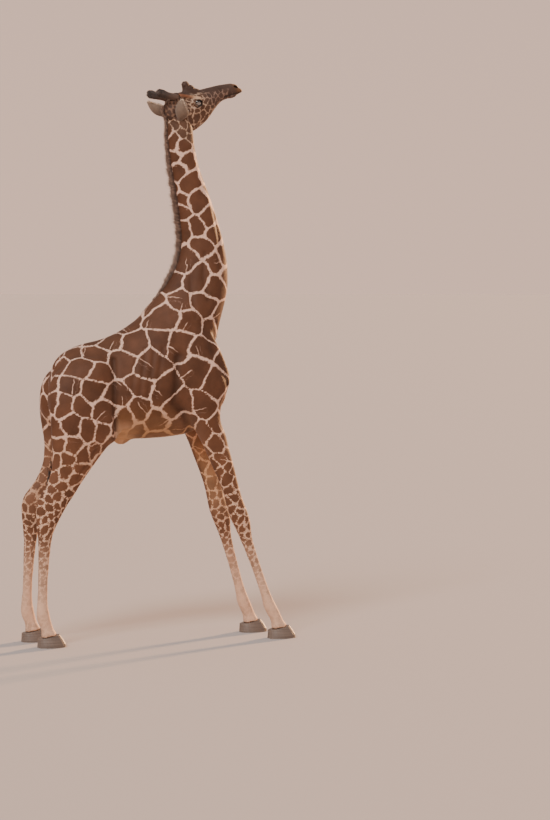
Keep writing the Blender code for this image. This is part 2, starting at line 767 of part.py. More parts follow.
def main():
    for old in list(bpy.data.objects):
        bpy.data.objects.remove(old)
    parts = collection("giraffe")
    helpers = collection("helpers", shown=False)

    body = [trunk_solid(helpers), neck_solid(helpers)] + masses(helpers)
    body += [leg_solid(end, side, helpers) for end in LEFT_SHIFT for _, side in SIDES]
    flesh = melt("flesh", body, 0.014, 12, TRIANGLES["body"], helpers)

    frame = head_frame()
    face = [skull_solid(helpers), neck_solid(helpers, 3.95)] + forehead_horn(helpers)
    for side in (-1, 1):
        for (along, out, up), radii, degrees in FACE:
            place = lean(Vector((along, side * out, up)), -degrees, frame)
            face.append(ellipsoid("face", place, radii, helpers))
        face.append(lids(side, helpers))
        root = EARS["left" if side > 0 else "right"][0]
        ear_foot = frame @ Matrix.Translation((root.x, side * (root.y - 0.018), root.z))
        face.append(ellipsoid("ear_foot", ear_foot, EAR_FOOT, helpers))
    head_flesh = melt("head_flesh", face, 0.0055, 5, TRIANGLES["head"], helpers)

    nodes = cut_body(flesh, head_flesh, parts, helpers)
    joined(nodes["neck_upper"], mane(NECK_SPLIT, MANE_TO, helpers), helpers)
    joined(nodes["neck_lower"], mane(MANE_FROM, NECK_SPLIT, helpers), helpers)

    for name, side in SIDES:
        socket = frame @ Matrix.Translation(eye_centre(side))
        eye = ellipsoid("eye_" + name, socket, (EYE_RADIUS,) * 3, parts, 14)
        stalk = horn(side, parts)
        stalk.name = "ossicone_" + name
        for piece in (eye, stalk, ear(name, side, parts)):
            nodes[piece.name] = piece
            boolean(nodes["head"], grown(piece, helpers), "DIFFERENCE")
        boolean(nodes["head"], nostril(side, helpers), "DIFFERENCE")
    boolean(nodes["head"], mouth_slit(helpers), "DIFFERENCE")
    largest(nodes["head"])

    tail = tail_tube(TAIL, parts)
    boolean(nodes["torso"], grown(tail, helpers), "DIFFERENCE")
    largest(nodes["torso"])
    nodes["tail"] = joined(tail, switch(helpers), helpers)

    for end in LEFT_SHIFT:
        for name, side in SIDES:
            for place, outer in (("outer", side), ("inner", -side)):
                label = f"hoof_{end}_{name}_{place}"
                nodes[label] = claw(label, foot_of(end, side), outer, parts)

    for helper in (flesh, head_flesh):
        bpy.data.objects.remove(helper)
    finish(nodes)


def finish(nodes):
    """Gives each node its finish, and stands the animal over the origin."""
    looks = {
        "eye": ("eye", EYE_DARK), "ossicone": ("horn_coat", HORN_COAT), "hoof": ("keratin", KERATIN),
        "ear": ("ear_coat", EAR_COAT), "tail": ("tail_hair", TAIL_HAIR)}
    for name, obj in nodes.items():
        kind = name.split("_")[0]
        obj.data.materials.clear()
        obj.data.materials.append(material(*looks.get(kind, ("coat", COAT))))
        obj.data.shade_smooth()
        obj.data.set_sharp_from_angle(angle=math.radians(50))
    corners = [v.co for obj in nodes.values() for v in obj.data.vertices]
    middle = [(min(c[k] for c in corners) + max(c[k] for c in corners)) / 2 for k in (0, 1)]
    for obj in nodes.values():
        obj.data.transform(Matrix.Translation((-middle[0], -middle[1], 0)))
    print("moved by", [-m for m in middle])


main()
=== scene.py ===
"""The looks of a reticulated giraffe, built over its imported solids.

Metres, +Z up. The animal looks along +X, and its right side is at -Y, where the camera stands.
"""

import math

import bmesh
import bpy
import numpy as np
from mathutils import Matrix, Vector
from mathutils.bvhtree import BVHTree


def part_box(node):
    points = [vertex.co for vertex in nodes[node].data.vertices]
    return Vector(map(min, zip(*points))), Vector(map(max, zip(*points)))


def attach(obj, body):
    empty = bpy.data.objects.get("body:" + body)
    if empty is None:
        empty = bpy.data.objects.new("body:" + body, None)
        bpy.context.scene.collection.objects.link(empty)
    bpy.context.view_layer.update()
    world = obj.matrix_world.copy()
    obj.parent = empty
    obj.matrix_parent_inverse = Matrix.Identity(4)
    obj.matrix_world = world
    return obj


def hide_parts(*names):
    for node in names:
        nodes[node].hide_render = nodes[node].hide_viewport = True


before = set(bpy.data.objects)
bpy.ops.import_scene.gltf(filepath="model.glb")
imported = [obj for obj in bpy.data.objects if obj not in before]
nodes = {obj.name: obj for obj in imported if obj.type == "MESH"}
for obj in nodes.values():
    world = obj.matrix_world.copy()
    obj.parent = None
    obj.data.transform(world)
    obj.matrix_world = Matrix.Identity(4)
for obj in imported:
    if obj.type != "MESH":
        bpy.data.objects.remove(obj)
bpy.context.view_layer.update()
# whatever lamp or camera the new file came with goes
for other in [o for o in bpy.data.objects if o.type in {"LIGHT", "CAMERA"}]:
    bpy.data.objects.remove(other)


# The head has a frame of its own: along the muzzle, out to the left, and up over the forehead.
# Its place comes from the eyeballs of the solids, and its turn and lift are those of the pose.
HEAD_YAW = math.radians(13)
HEAD_LIFT = math.radians(12)
EYE_ALONG, EYE_UP = 0.227, 0.028  # where the eyes sit in the head's frame
eyes = {side: sum(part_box("eye_" + side), Vector()) / 2 for side in ("left", "right")}
head_turn = Matrix.Rotation(HEAD_YAW, 3, "Z") @ Matrix.Rotation(-HEAD_LIFT, 3, "Y")
head_origin = (eyes["left"] + eyes["right"]) / 2 - head_turn @ Vector((EYE_ALONG, 0, EYE_UP))
head_frame = Matrix.Translation(head_origin) @ head_turn.to_4x4()


# The camera stands behind the animal's right side, 22 m away and a little above its shoulder,
# and looks slightly down. It has a long lens and no blur.
VIEW_TURN = math.radians(18)
VIEW_DROP = math.radians(2.88)
CAMERA_FROM_EYE = Vector((-6.2182, -21.1926, 0))  # set back from the right eye, on the level
CAMERA_HEIGHT = 3.0
FRAME_HEIGHT, LENS = 36.0, 117.8  # millimetres
camera_data = bpy.data.cameras.new("camera")
camera_data.sensor_fit = "VERTICAL"
camera_data.sensor_height = FRAME_HEIGHT
camera_data.lens = LENS
camera = bpy.data.objects.new("camera", camera_data)
bpy.context.scene.collection.objects.link(camera)
camera.location = eyes["right"] + CAMERA_FROM_EYE
camera.location.z = CAMERA_HEIGHT
camera.rotation_euler = (math.pi / 2 - VIEW_DROP, 0, -VIEW_TURN)
bpy.context.scene.camera = camera


# The studio: a pale painted floor and a backdrop whose rim has the floor's own brightness, so
# that the two meet without a line. A low warm lamp ahead of the animal on its far side edges it
# with light, and a broad soft one fills from behind the camera's left shoulder.
def shader(name, colour=(0.5, 0.5, 0.5), rough=0.6):
    """A new material and its Principled shader."""
    made = bpy.data.materials.new(name)
    made.use_nodes = True
    surface = made.node_tree.nodes["Principled BSDF"]
    surface.inputs["Base Color"].default_value = (*colour, 1)
    surface.inputs["Roughness"].default_value = rough
    return made, surface


def node(material, kind, **values):
    """A shader node; values named after a socket set that socket, the others set the node."""
    made = material.node_tree.nodes.new("ShaderNode" + kind)
    for key, value in values.items():
        if hasattr(made, key):
            setattr(made, key, value)
        else:
            made.inputs[key.replace("_", " ").title()].default_value = value
    return made


def wire(material, source, target):
    material.node_tree.links.new(source, target)


FLOOR_RADIUS = 400.0
FLOOR_PAINT = (0.50, 0.45, 0.43)
bpy.ops.object.select_all(action="DESELECT")
bpy.ops.mesh.primitive_circle_add(vertices=96, radius=FLOOR_RADIUS, fill_type="NGON")
floor = bpy.context.object
floor.name = "floor"
floor_look, _ = shader("floor_paint", FLOOR_PAINT, 0.9)
floor.data.materials.append(floor_look)

BACKDROP_RIM, BACKDROP_TOP = (1.61, 1.075, 0.840, 1), (0.80, 0.74, 0.73, 1)
BACKDROP_LIGHT = 0.60
RIM_HEIGHT, TOP_HEIGHT = 0.02, 0.55  # where the change from rim to top begins and ends; 1 is overhead
world = bpy.data.worlds.new("studio")
bpy.context.scene.world = world
world.use_nodes = True
backdrop = world.node_tree
direction = backdrop.nodes.new("ShaderNodeTexCoord")
split = backdrop.nodes.new("ShaderNodeSeparateXYZ")
rise = backdrop.nodes.new("ShaderNodeMapRange")
rise.interpolation_type = "SMOOTHSTEP"
rise.inputs["From Min"].default_value = RIM_HEIGHT
rise.inputs["From Max"].default_value = TOP_HEIGHT
tint = backdrop.nodes.new("ShaderNodeMix")
tint.data_type = "RGBA"
tint.inputs[6].default_value = BACKDROP_RIM
tint.inputs[7].default_value = BACKDROP_TOP
backdrop.links.new(direction.outputs["Generated"], split.inputs["Vector"])
backdrop.links.new(split.outputs["Z"], rise.inputs["Value"])
backdrop.links.new(rise.outputs["Result"], tint.inputs[0])
backdrop.links.new(tint.outputs[2], backdrop.nodes["Background"].inputs["Color"])
backdrop.nodes["Background"].inputs["Strength"].default_value = BACKDROP_LIGHT

LAMPS = {  # the way to it, strength, breadth in degrees, colour
    "low_warm": ((7.5, 5.0, 2.2), 7.5, 6, (1.0, 0.54, 0.26)),
    "high_soft": ((-7.0, -8.5, 9.0), 2.3, 20, (1.0, 0.95, 0.92)),
}
for name, (place, power, breadth, colour) in LAMPS.items():
    lamp_data = bpy.data.lights.new(name, "SUN")
    lamp_data.energy = power
    lamp_data.angle = math.radians(breadth)
    lamp_data.color = colour
    lamp = bpy.data.objects.new(name, lamp_data)
    bpy.context.scene.collection.objects.link(lamp)
    lamp.location = place
    lamp.rotation_euler = (-Vector(place)).to_track_quat("-Z", "Y").to_euler()


# The hide: thick skin with short fur, one closed cover over torso, neck, head and legs. It is
# grown from the solids, a little swollen so that their seams close, then evened and drawn in by
# the depth of the coat. The head has a finer grain than the body, and the two join on the neck.
SEAM_CLOSING = 0.0008
BODY_GRAIN, HEAD_GRAIN = 0.0136, 0.0053
BODY_SMOOTHING, HEAD_SMOOTHING = (34, 0.08), (10, 0.16)  # rounds, and how much each one lets go
COAT_DEPTH = 0.003
HEAD_JOIN = 4.06  # height of that join
JOIN_GAP = 0.002  # half the gap that a band of faces bridges there
CREST_INNER, CREST_OUTER = 0.027, 0.046  # beside the mane, where the bare neck is read
BEHIND_ALL = -3  # a place behind the animal, from where its back edge is met


def points_of(mesh):
    flat = np.empty(len(mesh.vertices) * 3)
    mesh.vertices.foreach_get("co", flat)
    return flat.reshape(-1, 3)


def normals_of(mesh):
    flat = np.empty(len(mesh.vertices) * 3)
    mesh.vertices.foreach_get("normal", flat)
    return flat.reshape(-1, 3)


def put_points(mesh, points):
    mesh.vertices.foreach_set("co", points.astype(np.float32).ravel())
    mesh.update()


def apply_all(obj):
    bpy.ops.object.select_all(action="DESELECT")
    obj.select_set(True)
    bpy.context.view_layer.objects.active = obj
    for name in [m.name for m in obj.modifiers]:
        bpy.ops.object.modifier_apply(modifier=name)


def evened(mesh, rounds, reach):
    """Takes the facets out of a mesh and keeps its volume: each round smooths, then swells back."""
    ends = np.empty(len(mesh.edges) * 2, int)
    mesh.edges.foreach_get("vertices", ends)
    a, b = ends[0::2], ends[1::2]
    points = points_of(mesh)
    count = np.bincount(ends, minlength=len(points))[:, None]
    back = -1 / (2 - reach)
    for _ in range(rounds):
        for step in (0.5, back):
            total = np.stack([
                np.bincount(a, points[b, k], len(points)) + np.bincount(b, points[a, k], len(points))
                for k in range(3)], 1)
            points += step * (total / count - points)
    put_points(mesh, points)


def bare_crest(points, neck):
    """Presses the mane's locks of the neck solids down to the line of the neck beneath them."""
    tree = BVHTree.FromPolygons(*neck)
    for i in np.flatnonzero(abs(points[:, 1]) < CREST_INNER):
        found = []
        for y in (CREST_INNER, CREST_OUTER):
            starts = [Vector((BEHIND_ALL, s * y, points[i, 2])) for s in (-1, 1)]
            hits = [tree.ray_cast(start, Vector((1, 0, 0)))[0] for start in starts]
            hits = [hit.x for hit in hits if hit]
            if hits:
                found.append(sum(hits) / len(hits))
        if len(found) < 2:
            continue
        curve = (found[1] - found[0]) / (CREST_OUTER ** 2 - CREST_INNER ** 2)
        line = found[0] + curve * (points[i, 1] ** 2 - CREST_INNER ** 2)
        points[i, 0] = max(points[i, 0], line)
    return points


def flesh_mesh(names, grain, smoothing):
    """The named solids melted into one smooth mesh."""
    bm = bmesh.new()
    for name in names:
        mesh = nodes[name].data
        start = len(bm.verts)
        bm.from_mesh(mesh)
        bm.verts.ensure_lookup_table()
        points = points_of(mesh)
        if name.startswith("neck"):
            faces = [tuple(f.vertices) for f in mesh.polygons]
            points = bare_crest(points, (points.tolist(), faces))
        points += normals_of(mesh) * SEAM_CLOSING
        for i, place in enumerate(points):
            bm.verts[start + i].co = place
    bmesh.ops.remove_doubles(bm, verts=bm.verts, dist=1e-5)
    mesh = bpy.data.meshes.new("flesh")
    bm.to_mesh(mesh)
    bm.free()
    made = bpy.data.objects.new("flesh", mesh)
    bpy.context.scene.collection.objects.link(made)
    melt = made.modifiers.new("melt", "REMESH")
    melt.mode = "VOXEL"
    melt.voxel_size = grain
    apply_all(made)
    bpy.data.objects.remove(made)
    evened(mesh, *smoothing)
    put_points(mesh, points_of(mesh) - normals_of(mesh) * (SEAM_CLOSING + COAT_DEPTH))
    return mesh


LEGS = [f"{end}_leg_{side}_{part}" for end in ("fore", "hind")
        for side in ("left", "right") for part in ("upper", "lower")]
body_mesh = flesh_mesh(["torso", "neck_lower", "neck_upper"] + LEGS, BODY_GRAIN, BODY_SMOOTHING)
face_mesh = flesh_mesh(["neck_upper", "head"], HEAD_GRAIN, HEAD_SMOOTHING)

hide_bm = bmesh.new()
for mesh, keep in ((body_mesh, -1), (face_mesh, 1)):
    part = bmesh.new()
    part.from_mesh(mesh)
    everything = part.verts[:] + part.edges[:] + part.faces[:]
    level = HEAD_JOIN + keep * JOIN_GAP
    bmesh.ops.bisect_plane(part, geom=everything, plane_co=(0, 0, level), plane_no=(0, 0, -keep),
                           clear_outer=True)
    part.to_mesh(mesh)
    part.free()
    hide_bm.from_mesh(mesh)
rims = [e for e in hide_bm.edges if e.is_boundary]
bmesh.ops.bridge_loops(hide_bm, edges=rims)
bmesh.ops.triangulate(hide_bm, faces=[f for f in hide_bm.faces if len(f.verts) > 4])
bmesh.ops.recalc_face_normals(hide_bm, faces=hide_bm.faces[:])
hide_mesh = bpy.data.meshes.new("hide")
hide_bm.to_mesh(hide_mesh)
hide_bm.free()


# Muscles and folds under the skin, the same on both sides. Each is a soft groove, or a ridge
# where its depth is below zero, that runs along a few places of the side view; the grooves also get
# painted shade in the coat's colour. Lumps of worn skin lie on the forehead horn.
RELIEF = {  # depth, reach across it, and a line of places as x and height
    "front of the thigh": (0.024, 0.023, [(-0.425, 2.32), (-0.437, 2.12), (-0.437, 1.91), (-0.410, 1.70)]),
    "swell of the thigh": (-0.009, 0.070, [(-0.540, 2.30), (-0.550, 2.05), (-0.530, 1.80)]),
    "back of the shoulder": (0.021, 0.032, [(0.090, 2.34), (0.074, 2.12), (0.057, 1.96), (0.130, 1.88)]),
    "swell of the upper arm": (-0.007, 0.055, [(0.200, 2.30), (0.190, 2.05)]),
    "fold over the elbow": (0.015, 0.026, [(0.135, 1.90), (0.205, 1.78), (0.255, 1.66)]),
    "front of the shoulder": (0.015, 0.034, [(0.330, 2.60), (0.400, 2.39), (0.490, 2.21), (0.540, 2.10)]),
    "gap of the fore ribs": (0.0070, 0.017, [(-0.030, 2.40), (-0.075, 2.20), (-0.105, 2.02)]),
    "gap of the middle ribs": (0.0080, 0.017, [(-0.095, 2.41), (-0.140, 2.20), (-0.170, 2.00)]),
    "gap of the hind ribs": (0.0080, 0.017, [(-0.165, 2.40), (-0.210, 2.20), (-0.240, 2.02)]),
    "edge of the last rib": (0.0060, 0.017, [(-0.240, 2.36), (-0.280, 2.18), (-0.305, 2.05)]),
    "groove of the throat": (0.0100, 0.022, [(0.490, 3.05), (0.500, 3.30), (0.452, 3.62), (0.372, 3.95)]),
    "front fold of the neck": (0.0095, 0.018, [(0.380, 2.80), (0.345, 2.98), (0.365, 3.18)]),
    "swell of the neck": (-0.0050, 0.040, [(0.440, 2.86), (0.450, 3.20), (0.400, 3.62)]),
    "back fold of the neck": (0.0095, 0.020, [(0.270, 2.66), (0.240, 2.84), (0.255, 3.05)]),
    "sinew over the hock": (0.0080, 0.016, [(-0.560, 1.66), (-0.640, 1.50), (-0.735, 1.36)]),
    "fold of the breast": (0.0075, 0.018, [(0.445, 2.62), (0.520, 2.52), (0.560, 2.40)]),
}
# a hollow this deep gets the full painted shade
DEEP = 0.020  # a hollow this deep is as dark as any
KNOB_HEIGHT = 0.0028
KNOB_WAVES = ((150, 60, 40), (-40, 170, 60), (30, -50, 160))  # turns of the lumps along the head's own axes


def ramp(value, low, high):
    """0 below low, 1 above high, and a smooth rise between."""
    t = np.clip((value - low) / (high - low), 0, 1)
    return t * t * (3 - 2 * t)


def in_head(points):
    """Places in the head's frame: along, out, up."""
    turn = np.array(head_frame.inverted())
    return points @ turn[:3, :3].T + turn[:3, 3]


def away_from(points, line):
    """Distance in the side view from each point to a line of places."""
    x, z = points[:, 0], points[:, 2]
    least = np.full(len(points), 9.0)
    for (ax, az), (bx, bz) in zip(line, line[1:]):
        run, rise = bx - ax, bz - az
        t = np.clip(((x - ax) * run + (z - az) * rise) / (run * run + rise * rise), 0, 1)
        least = np.minimum(least, np.hypot(x - ax - t * run, z - az - t * rise))
    return least


def sunk(points, normals):
    """How far each point of the hide is pressed in, and how much painted shade the hollow it lies in gets,
    from 0 to 1.
    """
    facing = ramp(abs(normals[:, 1]), 0.25, 0.6) * ramp(abs(points[:, 1]), 0.05, 0.09)
    shares = [depth * np.exp(-(away_from(points, line) / reach) ** 2) * facing
              for depth, reach, line in RELIEF.values()]
    return sum(shares), np.clip(sum(share.clip(0) for share in shares) / DEEP, 0, 1)


def knobs_on(points):
    """How far the lumps of the forehead horn stand out at each point."""
    places = in_head(points)
    along, _, up = places.T
    lumps = math.prod(np.sin(places @ wave + start) for start, wave in enumerate(KNOB_WAVES))
    height = KNOB_HEIGHT * ramp(up, 0.135, 0.175) * ramp(along, 0.08, 0.12) * (1 - ramp(along, 0.29, 0.33))
    return lumps * height


points, normals = points_of(hide_mesh), normals_of(hide_mesh)
put_points(hide_mesh, points + normals * (knobs_on(points) - sunk(points, normals)[0])[:, None])


# The hide's markings: liver-red patches with nearly straight sides, parted by pale lines. Each
# patch grows from a seed on the hide. Seeds keep a distance that shrinks from the flank to the
# feet and the face, and a patch ends half way to its neighbours. Tufts of hair share the result.
SEED = 11
PATCH_STEP = 0.202  # between seeds on the flank
RUMP_STEP = 0.146
NECK_STEPS = (0.172, 0.092)  # at its foot and at its top
LEG_STEPS = ((0.5, 0.040), (0.8, 0.048), (1.0, 0.057), (1.15, 0.067),  # height and step
             (1.3, 0.082), (1.45, 0.096), (1.6, 0.113), (1.85, 0.15))
CHEEK_STEPS = ((-0.17, 0.078), (-0.10, 0.058), (-0.04, 0.043), (0.02, 0.032))  # height in the head and step
SNOUT_STEP = 0.047
LINE_HALF = 0.0088  # half a pale line's width on the flank
NECK_LINES = (0.0100, 0.0082)  # half a width at its foot and at its top
LEG_LINES = ((0.9, 0.0050), (1.3, 0.0062), (1.7, 0.0078))  # height and half a width
FACE_LINE = 0.0033
THROAT_WIDER, BELLY_WIDER = 0.0075, 0.0035  # added there
SEEDS_NEAR = 5  # neighbours that a patch's edge is reckoned from
SEED_CROWD = 0.90  # seeds may come this much closer than the step, which makes patches uneven
CORNER_ROUND = 0.0030
SWAYS = ((0.34, 0.016), (0.15, 0.0065), (0.07, 0.0028))  # wave and height of the bends in the patches' sides
FACE_APART = 1.3  # points of the hide that face apart count as this many steps further from each other


def blend(share, a, b):
    """a where share is 0, b where it is 1; both may be colours."""
    if np.ndim(share) == 1 and 3 in (np.shape(a)[-1:] + np.shape(b)[-1:]):
        share = share[:, None]
    return a + (b - a) * share


def parts_of(points):
    """How much of each region a point belongs to, from 0 to 1."""
    z = points[:, 2]
    place = in_head(points)
    head = ramp(place[:, 0] + 0.55 * place[:, 2], -0.135, -0.075) * ramp(z, 4.02, 4.12)
    neck = ramp(z, 2.55, 2.95) * (1 - head)
    leg = 1 - ramp(z, 1.48, 1.86)
    return {"head": head, "neck": neck, "leg": leg, "place": place}


def patch_step(points):
    """The distance between seeds at each point."""
    z = points[:, 2]
    part = parts_of(points)
    along, _, up = part["place"].T
    step = np.full(len(points), PATCH_STEP)
    step = blend(part["neck"], step, blend(ramp(z, 3.0, 4.20), *NECK_STEPS))
    hind = 1 - ramp(points[:, 0], -0.62, -0.30)
    step = blend(hind * (1 - part["neck"]), step, RUMP_STEP)
    step = blend(part["leg"], step, np.interp(z, *zip(*LEG_STEPS)))
    face = blend(ramp(along, 0.20, 0.34), np.interp(up, *zip(*CHEEK_STEPS)), SNOUT_STEP)
    return blend(part["head"], step, face)


def line_half(points):
    """Half the width of the pale lines at each point."""
    z = points[:, 2]
    part = parts_of(points)
    half = np.full(len(points), LINE_HALF)
    half = blend(part["neck"], half, blend(ramp(z, 3.6, 4.2), *NECK_LINES))
    half = blend(part["leg"], half, np.interp(z, *zip(*LEG_LINES)))
    return blend(part["head"], half, FACE_LINE)


def swayed(points):
    """Points pushed about a little, so that the patches' sides aren't ruled lines."""
    dice = np.random.default_rng(SEED + 5)
    out = points.copy()
    for wave, height in SWAYS:
        for _ in range(4):
            toward = dice.normal(size=3)
            toward /= np.linalg.norm(toward)
            phase = points @ toward * (2 * math.pi / wave) + dice.uniform(0, 6.28)
            out += np.outer(np.sin(phase), dice.normal(size=3)) * height / 2
    return out


AT_ONCE = 6000  # points that are set against all seeds at one time


def squares(a, na, b, nb, reach):
    """Squared distances between two sets of points; those that face apart are held further apart."""
    far = (a ** 2).sum(1)[:, None] + (b ** 2).sum(1)[None] - 2 * a @ b.T
    apart = np.clip(-(na @ nb.T), 0, 1)
    return np.maximum(far, 0) + apart * (FACE_APART * reach) ** 2


def seeds_on(points, normals):
    """Seeds spread evenly over the hide at the local step, then moved to their patches' middles."""
    dice = np.random.default_rng(SEED)
    step = patch_step(points)
    free = np.ones(len(points), bool)
    chosen = []
    for i in dice.permutation(len(points)):
        if free[i]:
            chosen.append(i)
            gap = squares(points, normals, points[i:i + 1], normals[i:i + 1], step[i])[:, 0]
            free &= gap > (SEED_CROWD * step) ** 2
    seeds, faces = points[chosen], normals[chosen]
    owner = np.empty(len(points), int)
    for start in range(0, len(points), AT_ONCE):
        chunk = slice(start, start + AT_ONCE)
        owner[chunk] = squares(points[chunk], normals[chunk], seeds, faces, PATCH_STEP / 2).argmin(1)
    held = np.maximum(np.bincount(owner, minlength=len(seeds)), 1)[:, None]
    middle = np.stack([np.bincount(owner, points[:, k], len(seeds)) for k in range(3)], 1) / held
    turned = np.stack([np.bincount(owner, normals[:, k], len(seeds)) for k in range(3)], 1)
    return middle, turned / np.maximum(np.linalg.norm(turned, axis=1, keepdims=True), 1e-6)


def to_edge(points, normals, seeds, faces):
    """How far each point is from the edge of its patch, and which patch it is in."""
    edge, owner = np.empty(len(points)), np.empty(len(points), int)
    for start in range(0, len(points), AT_ONCE):
        chunk = slice(start, start + AT_ONCE)
        far = squares(points[chunk], normals[chunk], seeds, faces, PATCH_STEP / 2)
        near = np.argpartition(far, SEEDS_NEAR, 1)[:, :SEEDS_NEAR]
        near = np.take_along_axis(near, np.take_along_axis(far, near, 1).argsort(1), 1)
        gaps = np.take_along_axis(far, near, 1)
        between = np.linalg.norm(seeds[near[:, 1:]] - seeds[near[:, :1]], axis=2)
        off = (gaps[:, 1:] - gaps[:, :1]) / (2 * np.maximum(between, 1e-4))
        least = off.min(1, keepdims=True)
        rounded = CORNER_ROUND * np.log(np.exp(-(off - least) / CORNER_ROUND).sum(1, keepdims=True))
        edge[chunk] = (least - rounded)[:, 0]
        owner[chunk] = near[:, 0]
    return edge, owner


hide_points, hide_normals = points_of(hide_mesh), normals_of(hide_mesh)
swayed_hide = swayed(hide_points)
patch_seeds, patch_faces = seeds_on(swayed_hide, hide_normals)

# patches and the lines between them, on the body and on the face
LIVER = (0.107, 0.045, 0.023)
LIVER_LEG = (0.140, 0.060, 0.030)
LIVER_BELLY = (0.140, 0.061, 0.024)
FACE_BROWN = (0.108, 0.057, 0.036)
CREAM = (0.760, 0.510, 0.390)
CREAM_LEG = (0.690, 0.440, 0.300)
TAN = (0.520, 0.290, 0.138)  # under the belly and inside the legs
TAN_FORE, TAN_HIND = (0.680, 0.400, 0.215), (0.400, 0.205, 0.110)
NOSE_DARK = (0.082, 0.050, 0.038)
NOSE_NET = (0.260, 0.170, 0.130)
CROWN_BROWN = (0.070, 0.041, 0.031)
TEMPLE_NET = (0.205, 0.120, 0.078)
LIP_TAN = (0.170, 0.086, 0.042)
# painted highlight on the brow ridge: darker at the horn's foot, paler over the eye
BROW_HIGHLIGHT_BACK, BROW_HIGHLIGHT_FRONT = (0.240, 0.098, 0.050), (0.620, 0.400, 0.250)
JAW_PALE = (0.500, 0.350, 0.245)
SKIN_DARK = (0.022, 0.014, 0.011)
EYE_FOLD = (0.620, 0.470, 0.380)
# painted shade: the coat in the relief's hollows is darkened by these shares, on patches and on lines
PAINTED_HOLLOW_SHADE, PAINTED_LINE_SHADE = 0.40, 0.24  # the deepest hollows are darker by this much, on patches and lines
MOUTH = ((0.520, 0.034), 0.22, 0.004, 0.006)  # corner, reach, sag and rise, as in the solids
NOSTRIL = (0.640, 0.094)
BROW_HIGHLIGHT_LINE = ((0.082, 0.122), (0.272, 0.064))


def body_colours(points, normals, part):
    """The patches' colour and the lines' colour off the face, with painted shade in the relief's hollows,
    and how much a point belongs to the belly.
    """
    x, y, z = points.T
    patch = blend(part["leg"], np.array(LIVER), np.array(LIVER_LEG))
    patch = blend(part["head"], patch, np.array(FACE_BROWN))
    line = blend(part["leg"], np.array(CREAM), np.array(CREAM_LEG))
    line = blend(part["head"], line, np.array(JAW_PALE))
    # the patches fade towards the feet; they are faint on warm tan under the belly and inside the legs
    faint = (1 - ramp(z, 0.28, 0.98)) * 0.85
    under = ramp(-normals[:, 2], 0.15, 0.90) * ramp(z, 1.40, 1.60) * (1 - ramp(z, 1.80, 2.0))
    belly = (1 - ramp(z, 1.78, 2.02)) * ramp(z, 1.45, 1.60)
    belly = belly * ramp(x, -0.435, -0.395) * (1 - ramp(x, -0.02, 0.20))
    inner = ramp(-normals[:, 1] * np.sign(y), 0.1, 0.7) * part["leg"] * ramp(z, 0.80, 1.40)
    behind = 1 - ramp(x, -0.40, 0.0)
    groin = belly * (1 - ramp(z, 1.70, 1.86)) * (1 - ramp(x, -0.36, -0.10))  # it has no patches
    tan = blend(inner * behind, blend(inner, np.array(TAN), np.array(TAN_FORE)), np.array(TAN_HIND))
    line = blend(np.maximum(np.maximum(under, belly * 0.7), inner * (0.9 - 0.2 * behind)), line, tan)
    patch = blend(np.maximum(belly, inner * (1 - behind)), patch, np.array(LIVER_BELLY))
    fade = np.maximum(np.maximum(faint, groin * 0.9), np.maximum(under * 0.2, inner * (0.3 - 0.2 * behind)))
    patch = blend(fade, patch, line)
    # painted shade: patches and lines are darkened in the hollows of the relief, where shade would fall
    painted_shade = sunk(points, normals)[1]
    patch = patch * (1 - PAINTED_HOLLOW_SHADE * painted_shade)[:, None]
    line = line * (1 - PAINTED_LINE_SHADE * painted_shade)[:, None]
    return patch, line, np.maximum(under, belly)


